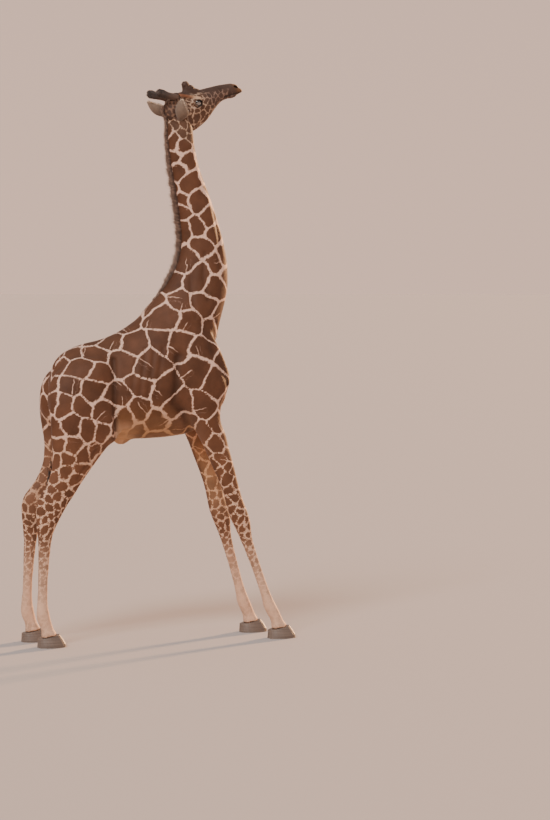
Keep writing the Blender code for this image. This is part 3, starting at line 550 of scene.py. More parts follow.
def face_marks(place):
    """The marks of the face, each as its share at a point, its colour on patches and its colour on lines."""
    along, out, up = place.T
    out = abs(out)
    side = ramp(out, 0.05, 0.06)
    snout = ramp(along + 0.5 * up, 0.28, 0.42)
    temple = ramp(up, -0.085, -0.02) * (1 - ramp(along, 0.10, 0.17))
    bridge = ramp(up - 0.45 * out, 0.060, 0.088) * ramp(along, 0.30, 0.38)
    nose = ramp(along + 0.4 * up, 0.55, 0.64)
    crown = ramp(up + 0.1 * out, 0.098, 0.128) * ramp(along, -0.05, 0.06) * (1 - ramp(along, 0.31, 0.37))
    lips = ramp(along + 0.5 * up, 0.640, 0.705) * ramp(up, 0.036, 0.050)
    # a painted highlight runs along the brow ridge, from the horn's foot to over the eye, tan at the back
    # and paler towards the front
    (ax, az), (bx, bz) = BROW_HIGHLIGHT_LINE
    t = np.clip(((along - ax) * (bx - ax) + (up - az) * (bz - az)) / ((bx - ax) ** 2 + (bz - az) ** 2), 0, 1)
    brow_highlight = 1 - ramp(np.hypot(along - ax - t * (bx - ax), up - az - t * (bz - az)), 0.007, 0.016)
    brow_highlight = brow_highlight * ramp(out, 0.045, 0.060)
    forward = ramp(np.clip((along - ax) / (bx - ax), 0, 1), 0.3, 0.9)
    brow_highlight_colour = blend(forward, np.array(BROW_HIGHLIGHT_BACK), np.array(BROW_HIGHLIGHT_FRONT))
    # bare dark skin rings the eye, and its widening below the eye's front is painted shadow of the lid and
    # lashes; a pale fold lies under it
    ahead, above = along - EYE_ALONG, up - EYE_UP
    eye = np.hypot(ahead, above * 1.12)
    low_front = ramp(ahead - above, -0.010, 0.025)
    lid = (1 - ramp(eye, 0.024 + 0.014 * low_front, 0.029 + 0.015 * low_front)) * side
    fold = (1 - ramp(abs(eye - 0.044), 0.003, 0.007)) * ramp(0.5 * ahead - above, -0.01, 0.015) * side
    (corner, low), reach, sag, rise = MOUTH
    t = np.clip((along - corner) / reach, 0, 1)
    lips_part = abs(up - low - sag * np.sin(np.pi * t) - rise * t)
    mouth = (1 - ramp(lips_part, 0.002, 0.006)) * ramp(along, 0.51, 0.53)
    # the nostril's opening: dark skin and painted shade of the hole
    nostril_skin_and_shade = np.hypot((along - NOSTRIL[0]) / 0.025, (up - NOSTRIL[1] + 0.4 * (along - NOSTRIL[0])) / 0.011)
    nostril_skin_and_shade = (1 - ramp(nostril_skin_and_shade, 0.75, 1.15)) * ramp(out, 0.016, 0.024)
    return (
        (snout, NOSE_DARK, NOSE_NET), (temple, CROWN_BROWN, TEMPLE_NET), (bridge, CROWN_BROWN, CROWN_BROWN),
        (nose, NOSE_DARK, NOSE_DARK), (crown, CROWN_BROWN, CROWN_BROWN), (brow_highlight, brow_highlight_colour, brow_highlight_colour),
        (lips, LIP_TAN, LIP_TAN), (fold, EYE_FOLD, EYE_FOLD), (lid, SKIN_DARK, SKIN_DARK),
        (mouth, SKIN_DARK, SKIN_DARK), (nostril_skin_and_shade, SKIN_DARK, SKIN_DARK))


def coat_notes(points, normals):
    """All that the coat's material reads: edge distance, line width, patch tone and the two colours."""
    edge, owner = to_edge(swayed(points), normals, patch_seeds, patch_faces)
    tone = np.random.default_rng(SEED + 9).uniform(-1, 1, len(patch_seeds))[owner]
    part = parts_of(points)
    patch, line, below = body_colours(points, normals, part)
    for share, on_patch, on_line in face_marks(part["place"]):
        patch = blend(share * part["head"], patch, np.array(on_patch))
        line = blend(share * part["head"], line, np.array(on_line))
    throat = part["neck"] * ramp(normals[:, 0], 0.15, 0.75)
    half = line_half(points) + THROAT_WIDER * throat + BELLY_WIDER * below
    return {"edge": edge, "half": half, "tone": tone, "patch": patch, "ground": line}


def note(mesh, name, values):
    """Stores one number, or one colour, for each vertex."""
    if values.ndim == 1:
        mesh.attributes.new(name, "FLOAT", "POINT").data.foreach_set("value", values.astype(np.float32))
    else:
        four = np.ones((len(values), 4), np.float32)
        four[:, :3] = values
        mesh.attributes.new(name, "FLOAT_COLOR", "POINT").data.foreach_set("color", four.ravel())


hide_notes = coat_notes(hide_points, hide_normals)
for name, values in hide_notes.items():
    note(hide_mesh, name, values)


# Some patches are cracked: a thin pale line runs in from the patch's edge and ends inside it.
CRACKS, CRACK_APART = 90, 0.15
CRACKS_LOW, CRACKS_HIGH = 1.45, 3.3  # heights between which they lie
CRACK_LENGTHS = (0.07, 0.16)
CRACK_BAND = 0.035  # how far to its sides a crack is written down
INWARD_REACH = 0.05  # the patch's inside is looked for this far around the crack's start
FAR_OFF = 0.05  # written down where there is none
dice = np.random.default_rng(SEED + 3)
at_edge = hide_notes["edge"] < 0.008
starts = np.flatnonzero(at_edge & (hide_points[:, 2] > CRACKS_LOW) & (hide_points[:, 2] < CRACKS_HIGH))
crack, crack_on = np.full(len(hide_points), FAR_OFF), np.zeros(len(hide_points))
taken = []
for i in dice.permutation(starts):
    here = hide_points[i]
    if len(taken) == CRACKS:
        break
    if taken and np.linalg.norm(np.array(taken) - here, axis=1).min() < CRACK_APART:
        continue
    near = np.flatnonzero(np.linalg.norm(hide_points - here, axis=1) < CRACK_LENGTHS[1])
    within = near[np.linalg.norm(hide_points[near] - here, axis=1) < INWARD_REACH]
    run = hide_points[within[hide_notes["edge"][within].argmax()]] - here
    across = np.cross(hide_normals[i], run)
    run = run + across * dice.uniform(-0.6, 0.6)
    run /= np.linalg.norm(run)
    across = np.cross(hide_normals[i], run)
    length = dice.uniform(*CRACK_LENGTHS)
    step = (hide_points[near] - here) @ run
    beside = (hide_points[near] - here) @ across
    on = ramp(step, -0.02, 0.0) * (1 - ramp(step, length * 0.7, length)) * (abs(beside) < CRACK_BAND)
    crack[near[on > 0]] = beside[on > 0]
    crack_on[near[on > 0]] = on[on > 0]
    taken.append(here)
note(hide_mesh, "crack", crack)
note(hide_mesh, "crack_on", crack_on)


def read(material, name, colour=False):
    """The output of an attribute that the mesh carries."""
    source = node(material, "Attribute", attribute_name=name)
    return source.outputs["Color" if colour else "Fac"]


def reckon(material, kind, a, b=0.0, c=0.0):
    """A sum of two or three values, each a number or another node's output."""
    made = node(material, "Math", operation=kind)
    for socket, value in zip(made.inputs, (a, b, c)):
        if isinstance(value, (int, float)):
            socket.default_value = value
        else:
            wire(material, value, socket)
    return made.outputs["Value"]


def noise(material, scale, detail=3.0, stretch=(1, 1, 1)):
    """Noise in the animal's own coordinates, about 0.5 in the middle."""
    place = node(material, "TexCoord")
    longer = node(material, "Mapping")
    longer.inputs["Scale"].default_value = stretch
    grain = node(material, "TexNoise", scale=scale, detail=detail)
    wire(material, place.outputs["Object"], longer.inputs["Vector"])
    wire(material, longer.outputs["Vector"], grain.inputs["Vector"])
    return grain.outputs["Fac"]


def mixed(material, share, a, b, kind="MIX"):
    """Two colours mixed; each is a colour or another node's output."""
    made = node(material, "Mix", data_type="RGBA", blend_type=kind)
    for socket, value in ((made.inputs[0], share), (made.inputs[6], a), (made.inputs[7], b)):
        if isinstance(value, (int, float)):
            socket.default_value = value
        elif isinstance(value, tuple):
            socket.default_value = (*value, 1)
        else:
            wire(material, value, socket)
    return made.outputs[2]


def coat_look(name):
    """Short fur: patches and pale lines with hairy edges, and thin pale cracks in some patches."""
    look, surface = shader(name, rough=0.62)
    surface.inputs["Sheen Weight"].default_value = 0.03
    surface.inputs["Sheen Roughness"].default_value = 0.4
    surface.inputs["Specular IOR Level"].default_value = 0.22
    hairy = reckon(look, "MULTIPLY_ADD", noise(look, 170, 2.0, (1, 1, 0.8)), 0.0200, -0.0100)
    ragged = reckon(look, "MULTIPLY_ADD", noise(look, 62, 2.0), 0.0200, -0.0100)
    edge = reckon(look, "ADD", reckon(look, "ADD", read(look, "edge"), hairy), ragged)
    over = reckon(look, "SUBTRACT", edge, read(look, "half"))
    inside = node(look, "MapRange", interpolation_type="SMOOTHSTEP")
    inside.inputs["From Min"].default_value = -0.0018
    inside.inputs["From Max"].default_value = 0.0022
    wire(look, over, inside.inputs["Value"])
    wander = reckon(look, "MULTIPLY_ADD", noise(look, 26, 2.0), 0.036, -0.018)
    beside = reckon(look, "ABSOLUTE", reckon(look, "ADD", read(look, "crack"), wander))
    narrow = reckon(look, "MULTIPLY_ADD", noise(look, 60, 2.0), 0.0090, -0.0012)
    cracked = node(look, "MapRange", interpolation_type="SMOOTHSTEP")
    cracked.inputs["From Min"].default_value = 0.0
    cracked.inputs["From Max"].default_value = -0.0012
    wire(look, reckon(look, "SUBTRACT", beside, narrow), cracked.inputs["Value"])
    whole = reckon(look, "MULTIPLY_ADD", reckon(look, "MULTIPLY", cracked.outputs["Result"],
                                                read(look, "crack_on")), -0.85, 1.0)
    inside = reckon(look, "MULTIPLY", inside.outputs["Result"], whole)
    # a patch is a little darker or paler than its neighbours, and mottled
    mottle = reckon(look, "MULTIPLY_ADD", noise(look, 9, 4.0), 0.9, 0.55)
    tone = reckon(look, "MULTIPLY_ADD", read(look, "tone"), 0.10, mottle)
    shade = node(look, "CombineColor")
    for socket in shade.inputs:
        wire(look, tone, socket)
    patch = mixed(look, 1.0, read(look, "patch", True), shade.outputs["Color"], "MULTIPLY")
    fine = reckon(look, "MULTIPLY_ADD", noise(look, 600, 2.0, (1, 1, 0.25)), 0.5, 0.75)
    grain = node(look, "CombineColor")
    for socket in grain.inputs:
        wire(look, fine, socket)
    colour = mixed(look, inside, read(look, "ground", True), patch)
    wire(look, mixed(look, 1.0, colour, grain.outputs["Color"], "MULTIPLY"), surface.inputs["Base Color"])
    bump = node(look, "Bump", strength=0.55, distance=0.0016)
    wire(look, noise(look, 420, 3.0, (1, 1, 0.3)), bump.inputs["Height"])
    wire(look, bump.outputs["Normal"], surface.inputs["Normal"])
    return look


def add(name, mesh, *looks):
    """A piece of the animal: it rides on the model's one body."""
    made = bpy.data.objects.new(name, mesh)
    bpy.context.scene.collection.objects.link(made)
    for look in looks:
        mesh.materials.append(look)
    mesh.shade_smooth()
    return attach(made, "root")


hide_look = coat_look("coat")
hide = add("hide", hide_mesh, hide_look)
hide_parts("torso", "neck_lower", "neck_upper", "head", *LEGS)


# The mane: short stiff hair that stands in a narrow brush from the withers to the horns, dark
# brown at the skin and greyer at its tips, where the light comes through. Like all hair here it
# is solid mesh: a lock is thin and tapered, with a closed root in the hide and a pointed tip.
ATLAS = {  # tiles of the flat map: left, low, wide and high
    "trunk": (0.02, 0.02, 0.46, 0.46),
    "legs": (0.52, 0.52, 0.46, 0.46),
    "neck": (0.52, 0.02, 0.46, 0.46),
    "head": (0.02, 0.52, 0.46, 0.30),
    "tail": (0.02, 0.86, 0.46, 0.12),
}
LOCK_UV = 0.003  # a lock's own size on the flat map
RUMP_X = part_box("torso")[0].x
HIND_FOOT_X, FORE_KNEE_X = -0.75, 0.55  # the legs are unrolled about these


def unwrapped(points):
    """A place on a flat map of the hide for each point: each region is unrolled about its own axis."""
    x, y, z = points.T
    place = in_head(points)
    inside_head = place[:, 0] > -0.05
    tail = (x < RUMP_X + 0.16) & (abs(y) < 0.05) & (z < 2.3)
    region = np.where(z > 2.75, "neck", np.where(z < 1.6, "legs", "trunk"))
    region = np.where((z > 4.0) & inside_head, "head", region)
    region = np.where(tail, "tail", region)
    leg_x = np.where(x > 0, FORE_KNEE_X + 0.25 * (1.6 - z), HIND_FOOT_X)
    leg_turn = np.arctan2(y - np.sign(y) * 0.2, x - leg_x) / (4 * math.pi)
    turned = {
        "trunk": (np.arctan2(y, z - 2.15) / (2 * math.pi) + 0.5, (x - RUMP_X) / 1.7),
        "legs": (leg_turn + 0.25 + 0.5 * (y > 0), z / 3.2 + 0.5 * (x > 0)),
        "neck": (np.arctan2(y, x - 0.30) / (2 * math.pi) + 0.5, (z - 2.7) / 1.6),
        "head": (np.arctan2(place[:, 1], place[:, 2]) / (2 * math.pi) + 0.5, (place[:, 0] + 0.06) / 0.85),
        "tail": (np.arctan2(y, x - RUMP_X) / (2 * math.pi) + 0.5, z / 2.4)}
    out = np.zeros((len(points), 2))
    for name, (left, low, wide, high) in ATLAS.items():
        pick = region == name
        u, v = turned[name]
        out[pick] = np.stack([left + wide * np.clip(u, 0, 1), low + high * np.clip(v, 0, 1)], 1)[pick]
    return out


def unit(vectors):
    return vectors / np.maximum(np.linalg.norm(vectors, axis=1, keepdims=True), 1e-9)


def tuft_mesh(name, roots, grow, flat, size, bend, shape, sides=3):
    """Tapered locks as one mesh, and the number of points in each. size holds their lengths, widths and
    thicknesses; shape gives the share of each at every ring, and the tip closes in a point."""
    count = len(roots)
    length, width, thick = (np.broadcast_to(np.asarray(value, float), count) for value in size)
    grow = unit(grow)
    side = unit(np.cross(grow, flat))
    flat = np.cross(side, grow)
    angles = np.arange(sides) * 2 * math.pi / sides
    rings = []
    for t, wide, deep in shape:
        centre = roots + (grow + bend * max(t, 0.0)) * (length * t)[:, None]
        across = flat[:, None] * np.cos(angles)[:, None] * (width * wide / 2)[:, None, None]
        through = side[:, None] * np.sin(angles)[:, None] * (thick * deep / 2)[:, None, None]
        rings.append(centre[:, None] + across + through)
    tips = (roots + (grow + bend) * length[:, None])[:, None]
    per = len(shape) * sides + 1
    points = np.concatenate(rings + [tips], 1).reshape(-1, 3)
    faces = []
    for ring in range(len(shape) - 1):
        for i in range(sides):
            a, b = ring * sides + i, ring * sides + (i + 1) % sides
            faces += [(a, b, b + sides), (a, b + sides, a + sides)]
    last = (len(shape) - 1) * sides
    faces += [(last + i, last + (i + 1) % sides, per - 1) for i in range(sides)]
    faces += [(0, i + 1, i) for i in range(1, sides - 1)]
    faces = np.array(faces)
    corners = (faces[None] + np.arange(count)[:, None, None] * per).reshape(-1, 3)
    mesh = bpy.data.meshes.new(name)
    mesh.vertices.add(len(points))
    mesh.vertices.foreach_set("co", points.astype(np.float32).ravel())
    mesh.loops.add(corners.size)
    mesh.loops.foreach_set("vertex_index", corners.ravel().astype(np.int32))
    mesh.polygons.add(len(corners))
    mesh.polygons.foreach_set("loop_start", (np.arange(len(corners)) * 3).astype(np.int32))
    mesh.update()
    steps = np.append(np.repeat([row[0] for row in shape], sides), 1.0)
    note(mesh, "along", np.tile(steps, count).clip(0, 1))
    note(mesh, "lock", np.repeat(np.random.default_rng(SEED + count).uniform(0, 1, count), per))
    local = np.zeros((per, 2))
    for ring in range(len(shape)):
        for i in range(sides):
            local[ring * sides + i] = (i / sides - 0.5, ring / len(shape) - 0.5)
    local[-1] = (0, 0.5)
    place = unwrapped(roots)[:, None] + local[None] * LOCK_UV
    mesh.uv_layers.new(name="OFBake").data.foreach_set(
        "uv", place.reshape(-1, 2)[corners.ravel()].astype(np.float32).ravel())
    return mesh, per


def hair_look(name, root, tip, rough, spread=0.35, paling=1.0):
    """Hair: one colour at the root and another at the tip, a little different from lock to lock.
    With a larger paling the root's colour reaches further up."""
    look, surface = shader(name, rough=rough)
    surface.inputs["Sheen Weight"].default_value = 0.1
    surface.inputs["Specular IOR Level"].default_value = 0.4
    colour = mixed(look, reckon(look, "POWER", read(look, "along"), paling), root, tip)
    tone = reckon(look, "MULTIPLY_ADD", read(look, "lock"), 2 * spread, 1 - spread)
    streak = reckon(look, "MULTIPLY", tone, reckon(look, "MULTIPLY_ADD", noise(look, 700, 2.0), 0.5, 0.75))
    shade = node(look, "CombineColor")
    for socket in shade.inputs:
        wire(look, streak, socket)
    wire(look, mixed(look, 1.0, colour, shade.outputs["Color"], "MULTIPLY"), surface.inputs["Base Color"])
    bump = node(look, "Bump", strength=0.4, distance=0.0006)
    wire(look, noise(look, 900, 2.0, (1, 1, 0.2)), bump.inputs["Height"])
    wire(look, bump.outputs["Normal"], surface.inputs["Normal"])
    return look


MANE_LOW, MANE_HIGH = 2.80, 4.36  # heights of its ends
MANE_LOCKS = 5200
MANE_HEIGHT = 0.064
MANE_ROOT, MANE_TIP = (0.062, 0.031, 0.021), (0.340, 0.215, 0.155)
MANE_HALF = 0.016  # half the width of the band that it grows on
SUNK_ROOT = 0.008  # how deep a lock's root lies in the hide
dice = np.random.default_rng(SEED + 20)
hide_faces = [tuple(f.vertices) for f in hide_mesh.polygons]
hide_tree = BVHTree.FromPolygons(points_of(hide_mesh).tolist(), hide_faces)
heights = np.arange(MANE_LOW - 0.04, MANE_HIGH + 0.03, 0.01)
crest = [hide_tree.ray_cast(Vector((BEHIND_ALL, 0, z)), Vector((1, 0, 0)))[0] for z in heights]
crest = np.array([(hit.x, hit.z) for hit in crest if hit])
crest[:, 0] = np.convolve(np.pad(crest[:, 0], 3, mode="edge"), np.ones(7) / 7, "valid")
travel = np.concatenate([[0], np.cumsum(np.hypot(*np.diff(crest, axis=0).T))])
spots = dice.uniform(travel[3], travel[-3], MANE_LOCKS)
x, z = np.interp(spots, travel, crest[:, 0]), np.interp(spots, travel, crest[:, 1])
run_x = np.interp(spots + 0.02, travel, crest[:, 0]) - np.interp(spots - 0.02, travel, crest[:, 0])
run_z = np.interp(spots + 0.02, travel, crest[:, 1]) - np.interp(spots - 0.02, travel, crest[:, 1])
run = unit(np.stack([run_x, np.zeros_like(x), run_z], 1))
out = np.stack([-run[:, 2], np.zeros_like(x), run[:, 0]], 1)
aside = dice.normal(0, 0.0065, MANE_LOCKS).clip(-MANE_HALF, MANE_HALF)
climb = (z - MANE_LOW) / (MANE_HIGH - MANE_LOW)
height = MANE_HEIGHT * (0.50 + 0.48 * np.sin(np.pi * np.clip(climb * 1.05 + 0.06, 0, 1)))
ragged = 0.93 + 0.07 * np.sin(spots * 61) + 0.06 * np.sin(spots * 147)
height *= (0.35 + 0.65 * ramp(climb, 0.0, 0.10)) * ragged
fine = np.arange(MANE_LOCKS) % 3 == 0
height *= np.where(fine, dice.uniform(0.80, 1.35, MANE_LOCKS), dice.uniform(0.55, 0.98, MANE_LOCKS))
height *= 1 - (abs(aside) / 0.03) ** 2
roots = np.stack([x, aside, z], 1) - out * SUNK_ROOT
lean = np.stack([np.zeros_like(x), aside * 9 + dice.normal(0, 0.07, MANE_LOCKS), np.zeros_like(x)], 1)
grow = out + run * dice.normal(0.32, np.where(fine, 0.34, 0.14), MANE_LOCKS)[:, None] + lean
width = np.where(fine, 0.0026, dice.uniform(0.005, 0.009, MANE_LOCKS))
size = (height + SUNK_ROOT, width, np.where(fine, 0.0016, 0.003))
mane_mesh, per = tuft_mesh("mane", roots, grow, run, size, run * 0.12,
                           [(-0.1, 0.8, 1), (0.35, 1, 1), (0.75, 0.7, 0.7)])
mane_look = hair_look("mane_hair", MANE_ROOT, MANE_TIP, 0.6, 0.5, 1.5)
mane = add("mane", mane_mesh, mane_look)


# The tail: a thin dock of bone and skin with dark markings, and below it a heavy switch of black
# hair that hangs in long locks from the end of the dock.
DOCK_END = 1.36
DOCK_GRAIN = 0.005
DOCK_SMOOTHING = (20, 0.16)
DOCK_COAT = 0.001  # drawn in by this much
SWITCH_TOP = 1.42
SWITCH_LOCKS = 420
SWITCH_ROOT, SWITCH_TIP = (0.040, 0.022, 0.015), (0.012, 0.009, 0.009)
DOCK_PATCH, DOCK_LINE = (0.058, 0.030, 0.020), (0.150, 0.088, 0.058)
tail_points = points_of(nodes["tail"].data)
tail_tip = tail_points[:, 2].min()
dock_bm = bmesh.new()
dock_bm.from_mesh(nodes["tail"].data)
bmesh.ops.bisect_plane(dock_bm, geom=dock_bm.verts[:] + dock_bm.edges[:] + dock_bm.faces[:],
                       plane_co=(0, 0, DOCK_END), plane_no=(0, 0, -1), clear_outer=True)
bmesh.ops.holes_fill(dock_bm, edges=[e for e in dock_bm.edges if e.is_boundary])
dock_mesh = bpy.data.meshes.new("dock")
dock_bm.to_mesh(dock_mesh)
dock_bm.free()
dock = bpy.data.objects.new("tail_dock", dock_mesh)
bpy.context.scene.collection.objects.link(dock)
melt = dock.modifiers.new("melt", "REMESH")
melt.mode = "VOXEL"
melt.voxel_size = DOCK_GRAIN
apply_all(dock)
evened(dock_mesh, *DOCK_SMOOTHING)
put_points(dock_mesh, points_of(dock_mesh) - normals_of(dock_mesh) * DOCK_COAT)
dock_notes = coat_notes(points_of(dock_mesh), normals_of(dock_mesh))
dock_notes["patch"] = np.tile(DOCK_PATCH, (len(dock_mesh.vertices), 1))
dock_notes["ground"] = np.tile(DOCK_LINE, (len(dock_mesh.vertices), 1))
for name, values in dock_notes.items():
    note(dock_mesh, name, values)
dock_mesh.materials.append(hide_look)
dock_mesh.shade_smooth()
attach(dock, "root")
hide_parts("tail")


def dock_at(z):
    """The middle of the tail at a height."""
    near = tail_points[abs(tail_points[:, 2] - z) < 0.09]
    return (near[:, 0].min() + near[:, 0].max()) / 2


dice = np.random.default_rng(SEED + 21)
level = SWITCH_TOP - (SWITCH_TOP - DOCK_END + 0.06) * dice.uniform(0, 1, SWITCH_LOCKS) ** 0.7
turned = dice.uniform(0, 2 * math.pi, SWITCH_LOCKS)
out = np.stack([np.cos(turned), np.sin(turned), np.zeros(SWITCH_LOCKS)], 1)
middle = np.stack([[dock_at(z) for z in level], np.zeros(SWITCH_LOCKS), level], 1)
root_radius = np.interp(level, [1.28, SWITCH_TOP], [0.007, 0.012])
reach = (level - tail_tip) * dice.uniform(0.62, 0.99, SWITCH_LOCKS)
hang = np.array([-0.08, 0, -1.0]) + out * dice.uniform(0.04, 0.12, SWITCH_LOCKS)[:, None]
hang[:, 2] = -1
grow = hang / np.linalg.norm(hang, axis=1, keepdims=True)
reach = np.minimum(reach, level - tail_tip - 0.004)
size = (reach, dice.uniform(0.006, 0.013, SWITCH_LOCKS), 0.004)
switch_mesh, per = tuft_mesh("switch", middle + out * root_radius[:, None], grow,
                             np.stack([-out[:, 1], out[:, 0], np.zeros(SWITCH_LOCKS)], 1), size,
                             -out * dice.uniform(0.07, 0.15, SWITCH_LOCKS)[:, None],
                             [(0, 0.5, 1), (0.12, 0.9, 1), (0.35, 1, 1), (0.6, 0.9, 0.9), (0.82, 0.6, 0.7)])
switch_look = hair_look("switch_hair", SWITCH_ROOT, SWITCH_TIP, 0.42, 0.4)
switch = add("tail_switch", switch_mesh, switch_look)


# The paired horns: bone under skin and short dark hair, thick, and worn bald and grey at their
# lumpy ends, as on a bull. Each stands in the hide of the skull behind the brow.
def refined(name, cad_name, levels=2):
    """A finer, rounder copy of a CAD node, as a mesh."""
    mesh = nodes[cad_name].data.copy()
    made = bpy.data.objects.new(name, mesh)
    bpy.context.scene.collection.objects.link(made)
    bm = bmesh.new()
    bm.from_mesh(mesh)
    bmesh.ops.remove_doubles(bm, verts=bm.verts, dist=1e-5)
    bm.to_mesh(mesh)
    bm.free()
    mesh.materials.clear()
    rounder = made.modifiers.new("rounder", "SUBSURF")
    rounder.levels = rounder.render_levels = levels
    apply_all(made)
    mesh = made.data
    bpy.data.objects.remove(made)
    for old in list(mesh.attributes):
        if old.name.startswith("UVMap") or old.name == "custom_normal":
            mesh.attributes.remove(old)
    return mesh


HORN_ROOT, HORN_END = Vector((0.128, 0.042, 0.080)), Vector((-0.120, 0.088, 0.182))
HORN_BROWN, HORN_BALD, HORN_WORN = (0.115, 0.058, 0.036), (0.030, 0.026, 0.027), (0.17, 0.115, 0.09)
HORN_LUMPS = (((1, .3, .2), 190), ((.2, 1, .4), 230), ((.3, .2, 1), 170))  # ways and turns of the waves
LUMP_HEIGHT = 0.0012
BRISTLES = 900
BRISTLE_ROOT, BRISTLE_TIP = (0.035, 0.024, 0.020), (0.060, 0.046, 0.040)
BRISTLE_LENGTHS = (0.008, 0.016)
horn_look, horn_skin = shader("horn_coat", rough=0.7)
tip_share = node(horn_look, "MapRange")
past_root = reckon(horn_look, "SUBTRACT", read(horn_look, "along"), 0.17)
wire(horn_look, reckon(horn_look, "MULTIPLY_ADD", noise(horn_look, 60, 3.0), 0.35, past_root),
     tip_share.inputs["Value"])
tip_share.inputs["From Min"].default_value = 0.30
tip_share.inputs["From Max"].default_value = 0.78
horn_colour = mixed(horn_look, tip_share.outputs["Result"], HORN_BROWN, HORN_BALD)
worn = reckon(horn_look, "MULTIPLY", noise(horn_look, 300, 3.0, (1, 1, 0.4)), 0.6)
wire(horn_look, mixed(horn_look, worn, horn_colour, HORN_WORN), horn_skin.inputs["Base Color"])
bump = node(horn_look, "Bump", strength=0.8, distance=0.003)
wire(horn_look, noise(horn_look, 190, 4.0), bump.inputs["Height"])
wire(horn_look, bump.outputs["Normal"], horn_skin.inputs["Normal"])
bristle_look = hair_look("horn_bristle", BRISTLE_ROOT, BRISTLE_TIP, 0.6)
for side, sign in (("left", 1), ("right", -1)):
    mesh = refined("horn", "ossicone_" + side)
    low = head_frame @ Vector((HORN_ROOT.x, sign * HORN_ROOT.y, HORN_ROOT.z))
    high = head_frame @ Vector((HORN_END.x, sign * HORN_END.y, HORN_END.z))
    axis = np.array(high - low)
    points = points_of(mesh)
    share = (points - np.array(low)) @ axis / (axis @ axis)
    lumps = sum(np.sin(points @ np.array(way) * turns) for way, turns in HORN_LUMPS)
    points += normals_of(mesh) * (lumps * LUMP_HEIGHT * ramp(share, 0.5, 0.85) - LUMP_HEIGHT)[:, None]
    put_points(mesh, points)
    note(mesh, "along", share)
    horn = add("horn_" + side, mesh, horn_look)
    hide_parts("ossicone_" + side)
    dice = np.random.default_rng(SEED + 30 + sign)
    normals = normals_of(mesh)
    below_bald = ramp(share, 0.45, 0.75) * (1 - ramp(share, 0.93, 1.0))
    chance = ramp(share, 0.14, 0.34) * (0.25 + below_bald)
    pick = dice.choice(len(points), BRISTLES, p=chance / chance.sum())
    axis = axis / np.linalg.norm(axis)
    grow = normals[pick] * 0.35 + axis[None] + dice.normal(0, 0.12, (len(pick), 3))
    size = (dice.uniform(*BRISTLE_LENGTHS, len(pick)), 0.0034, 0.0014)
    mesh, _ = tuft_mesh("bristles", points[pick] - normals[pick] * 0.001, grow,
                        np.cross(normals[pick], grow), size, -normals[pick] * 0.25,
                        [(0, 1, 1), (0.55, 0.8, 0.8)])
    add(f"horn_{side}_hair", mesh, bristle_look)


# The ears: long leaves of gristle under thin fur, grey-tan outside with a painted highlight along the rim,
# and paler inside, with painted shade deep in the cup, where long hair fringes the opening. They stand in
# the hide behind the horns.
EAR_FACES = {"left": Vector((0.98, 0.10, 0.15)), "right": Vector((0.80, -0.55, -0.10))}
EAR_ROOTS = {"left": Vector((-0.002, 0.076, -0.030)), "right": Vector((0.038, 0.080, -0.090))}
EAR_REACH = 0.195
EAR_HALF_WIDTH = 0.063
EAR_STEM = 0.50  # share of the width left at the root
EAR_CUP = 0.26  # how far the edges curl to the open side, as a share of the half width
EAR_HAIRS = 620
RIM_FOLD = math.radians(50)  # an edge of the solid that is folded more than this is the ear's rim
EAR_DARK, EAR_GREY, EAR_FOOT = (0.120, 0.080, 0.052), (0.300, 0.218, 0.155), (0.100, 0.063, 0.042)
EAR_CUP_SHADE, EAR_PALE, EAR_RIM_HIGHLIGHT = (0.080, 0.046, 0.032), (0.270, 0.195, 0.145), (0.840, 0.620, 0.430)
EAR_FLECK = (0.17, 0.12, 0.09)
FRINGE_ROOT, FRINGE_TIP = (0.330, 0.250, 0.190), (0.620, 0.520, 0.430)
FRINGE_LENGTHS = (0.008, 0.017)
ear_look, ear_skin = shader("ear_fur", rough=0.75)
ear_skin.inputs["Sheen Weight"].default_value = 0.2
outer = mixed(ear_look, noise(ear_look, 45, 3.0), EAR_DARK, EAR_GREY)
past_foot = reckon(ear_look, "SUBTRACT", read(ear_look, "along"), 0.30)
paler = reckon(ear_look, "MULTIPLY_ADD", noise(ear_look, 17, 2.0), 0.7, past_foot)
outer = mixed(ear_look, paler, EAR_FOOT, outer)
# painted shade: the inside of the cup is darker towards the root
inner = mixed(ear_look, read(ear_look, "along"), EAR_CUP_SHADE, EAR_PALE)
furry = mixed(ear_look, read(ear_look, "cup"), outer, inner)
# painted highlight: a pale gold band along the ear's rim stands in for light catching its edge
rim_lit = mixed(ear_look, read(ear_look, "rim"), furry, EAR_RIM_HIGHLIGHT)
fleck = reckon(ear_look, "MULTIPLY", noise(ear_look, 500, 2.0, (1, 1, 0.3)), 0.4)
wire(ear_look, mixed(ear_look, fleck, rim_lit, EAR_FLECK), ear_skin.inputs["Base Color"])
bump = node(ear_look, "Bump", strength=0.8, distance=0.0018)
wire(ear_look, noise(ear_look, 420, 3.0, (1, 1, 0.3)), bump.inputs["Height"])
wire(ear_look, bump.outputs["Normal"], ear_skin.inputs["Normal"])


def curled(places, base, axis, across, face):
    """An ear's flat leaf drawn in to a stem at its root, with its edges curled to the open side."""
    t = (places - base) @ axis / EAR_REACH
    side = (places - base) @ across
    width = EAR_STEM + (1 - EAR_STEM) * ramp(t, 0.0, 0.50)
    curl = EAR_CUP * (side * width) ** 2 / EAR_HALF_WIDTH
    return places + np.outer(side * (width - 1), across) + np.outer(curl, face)


